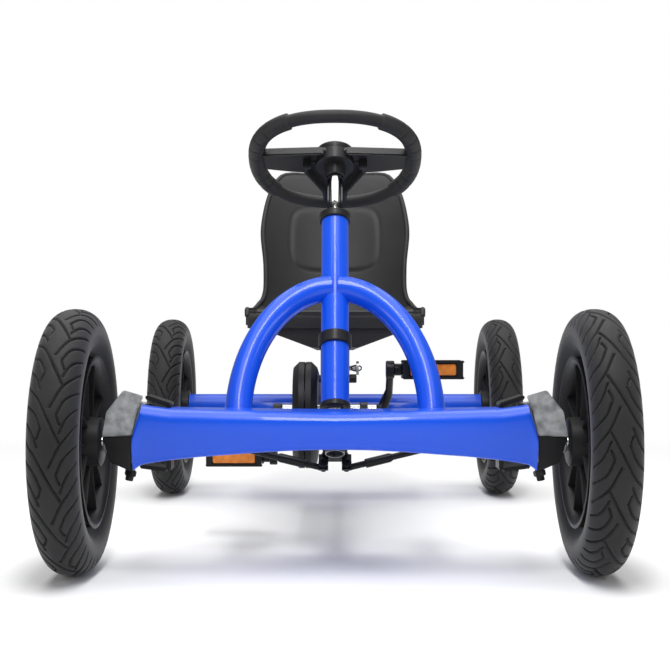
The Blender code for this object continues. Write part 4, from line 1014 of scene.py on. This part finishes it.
def make_small_trim():
    """The clamp's screws beside the main tube and the lock's pull ring."""
    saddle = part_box("seat_saddle")
    y = saddle[0].y + 0.015
    for side, x in ((1, 0.0226), (-1, -0.0226)):
        knob = turned((x, y, 0.2185), (side, 0, 0),
                      [(0, 0.0065), (0.0100, 0.0065), (0.0115, 0.0052), (0.0115, 0.0002)], 6)
        piece("clamp_screw_" + ("left" if side > 0 else "right"), knob, DARK_METAL, "seat")
    lock_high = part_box("seat_lock_pin")[1]
    place = middle("seat_lock_pin")
    ring = [Vector((lock_high.x - 0.004 + 0.0085 * math.cos(a), place.y + 0.004 * math.cos(a),
                    place.z + 0.0044 * math.sin(a)))
            for a in [math.tau * step / 40 for step in range(40)]]
    piece("pull_ring", sweep(ring, 0.0011, 12, closed=True), DARK_METAL, "seat_lock")


# Studio


def area_light(name, place, target, size, power):
    """A soft rectangular light that faces its target."""
    lamp = bpy.data.lights.new(name, "AREA")
    lamp.shape = "RECTANGLE"
    lamp.size, lamp.size_y = size
    lamp.energy = power
    item = bpy.data.objects.new(name, lamp)
    bpy.context.scene.collection.objects.link(item)
    item.location = place
    item.rotation_euler = (Vector(target) - Vector(place)).to_track_quat("-Z", "Y").to_euler()


WORLD_FILL = 0.26  # how strongly the white surroundings light the kart


def floor_material():
    """A matt white floor under the kart that turns to plain white light further off."""
    white = bpy.data.materials.new("white_floor")
    white.use_nodes = True
    tree = white.node_tree
    shader = tree.nodes["Principled BSDF"]
    shader.inputs["Base Color"].default_value = (0.95, 0.95, 0.95, 1)
    shader.inputs["Roughness"].default_value = 0.9
    shader.inputs["Specular IOR Level"].default_value = 0.0
    glow = tree.nodes.new("ShaderNodeEmission")
    place = tree.nodes.new("ShaderNodeTexCoord")
    distance = tree.nodes.new("ShaderNodeVectorMath")
    distance.operation = "LENGTH"
    share = tree.nodes.new("ShaderNodeMapRange")
    share.inputs["From Min"].default_value = 0.75
    share.inputs["From Max"].default_value = 1.9
    mixed = tree.nodes.new("ShaderNodeMixShader")
    tree.links.new(place.outputs["Object"], distance.inputs[0])
    tree.links.new(distance.outputs["Value"], share.inputs["Value"])
    tree.links.new(share.outputs["Result"], mixed.inputs["Fac"])
    tree.links.new(shader.outputs["BSDF"], mixed.inputs[1])
    tree.links.new(glow.outputs["Emission"], mixed.inputs[2])
    tree.links.new(mixed.outputs["Shader"], tree.nodes["Material Output"].inputs["Surface"])
    return white


def make_studio():
    """White surroundings that light the kart softly, the floor, and four soft lights."""
    scene = bpy.context.scene
    world = bpy.data.worlds.new("studio")
    world.use_nodes = True
    world.node_tree.nodes["Background"].inputs["Color"].default_value = (1, 1, 1, 1)
    tree = world.node_tree
    seen = tree.nodes.new("ShaderNodeLightPath")
    level = tree.nodes.new("ShaderNodeMapRange")
    level.inputs["To Min"].default_value = WORLD_FILL
    level.inputs["To Max"].default_value = 1.0
    tree.links.new(seen.outputs["Is Camera Ray"], level.inputs["Value"])
    tree.links.new(level.outputs["Result"], tree.nodes["Background"].inputs["Strength"])
    scene.world = world
    floor = bpy.data.meshes.new("floor")
    floor.from_pydata([(-30, -12, 0), (30, -12, 0), (30, 60, 0), (-30, 60, 0)], [], [(0, 1, 2, 3)])
    ground = bpy.data.objects.new("floor", floor)
    scene.collection.objects.link(ground)
    white = floor_material()
    floor.materials.append(white)
    area_light("top", (0, 0.2, 2.4), (0, 0.1, 0.0), (2.6, 3.4), 66)
    area_light("strip", (0, -1.5, 2.2), (0, -0.35, 0.3), (0.35, 1.5), 26)
    area_light("left", (-2.0, -1.5, 1.0), (0, -0.3, 0.25), (0.5, 1.5), 9)
    area_light("right", (2.0, -1.5, 1.0), (0, -0.3, 0.25), (0.5, 1.5), 9)


def make_camera():
    """The view along the kart from just above the beam."""
    data = bpy.data.cameras.new("camera")
    data.lens = 69.5
    data.sensor_width = 36
    data.shift_y = 0.006
    data.clip_end = 100
    item = bpy.data.objects.new("camera", data)
    item.location = (0, -1.96, 0.2816)
    item.rotation_euler = (math.pi / 2, 0, 0)
    bpy.context.scene.collection.objects.link(item)
    bpy.context.scene.camera = item
    bpy.context.scene.view_settings.view_transform = "Standard"


make_camera()
make_studio()
plain_nodes()
make_wheels()
make_column()
make_arches()
make_main_frame()
make_beam()
make_yokes()
make_knuckles()
make_linkage_trim()
make_steering_wheel()
make_seat()
make_chain_case()
make_crank()
make_small_trim()
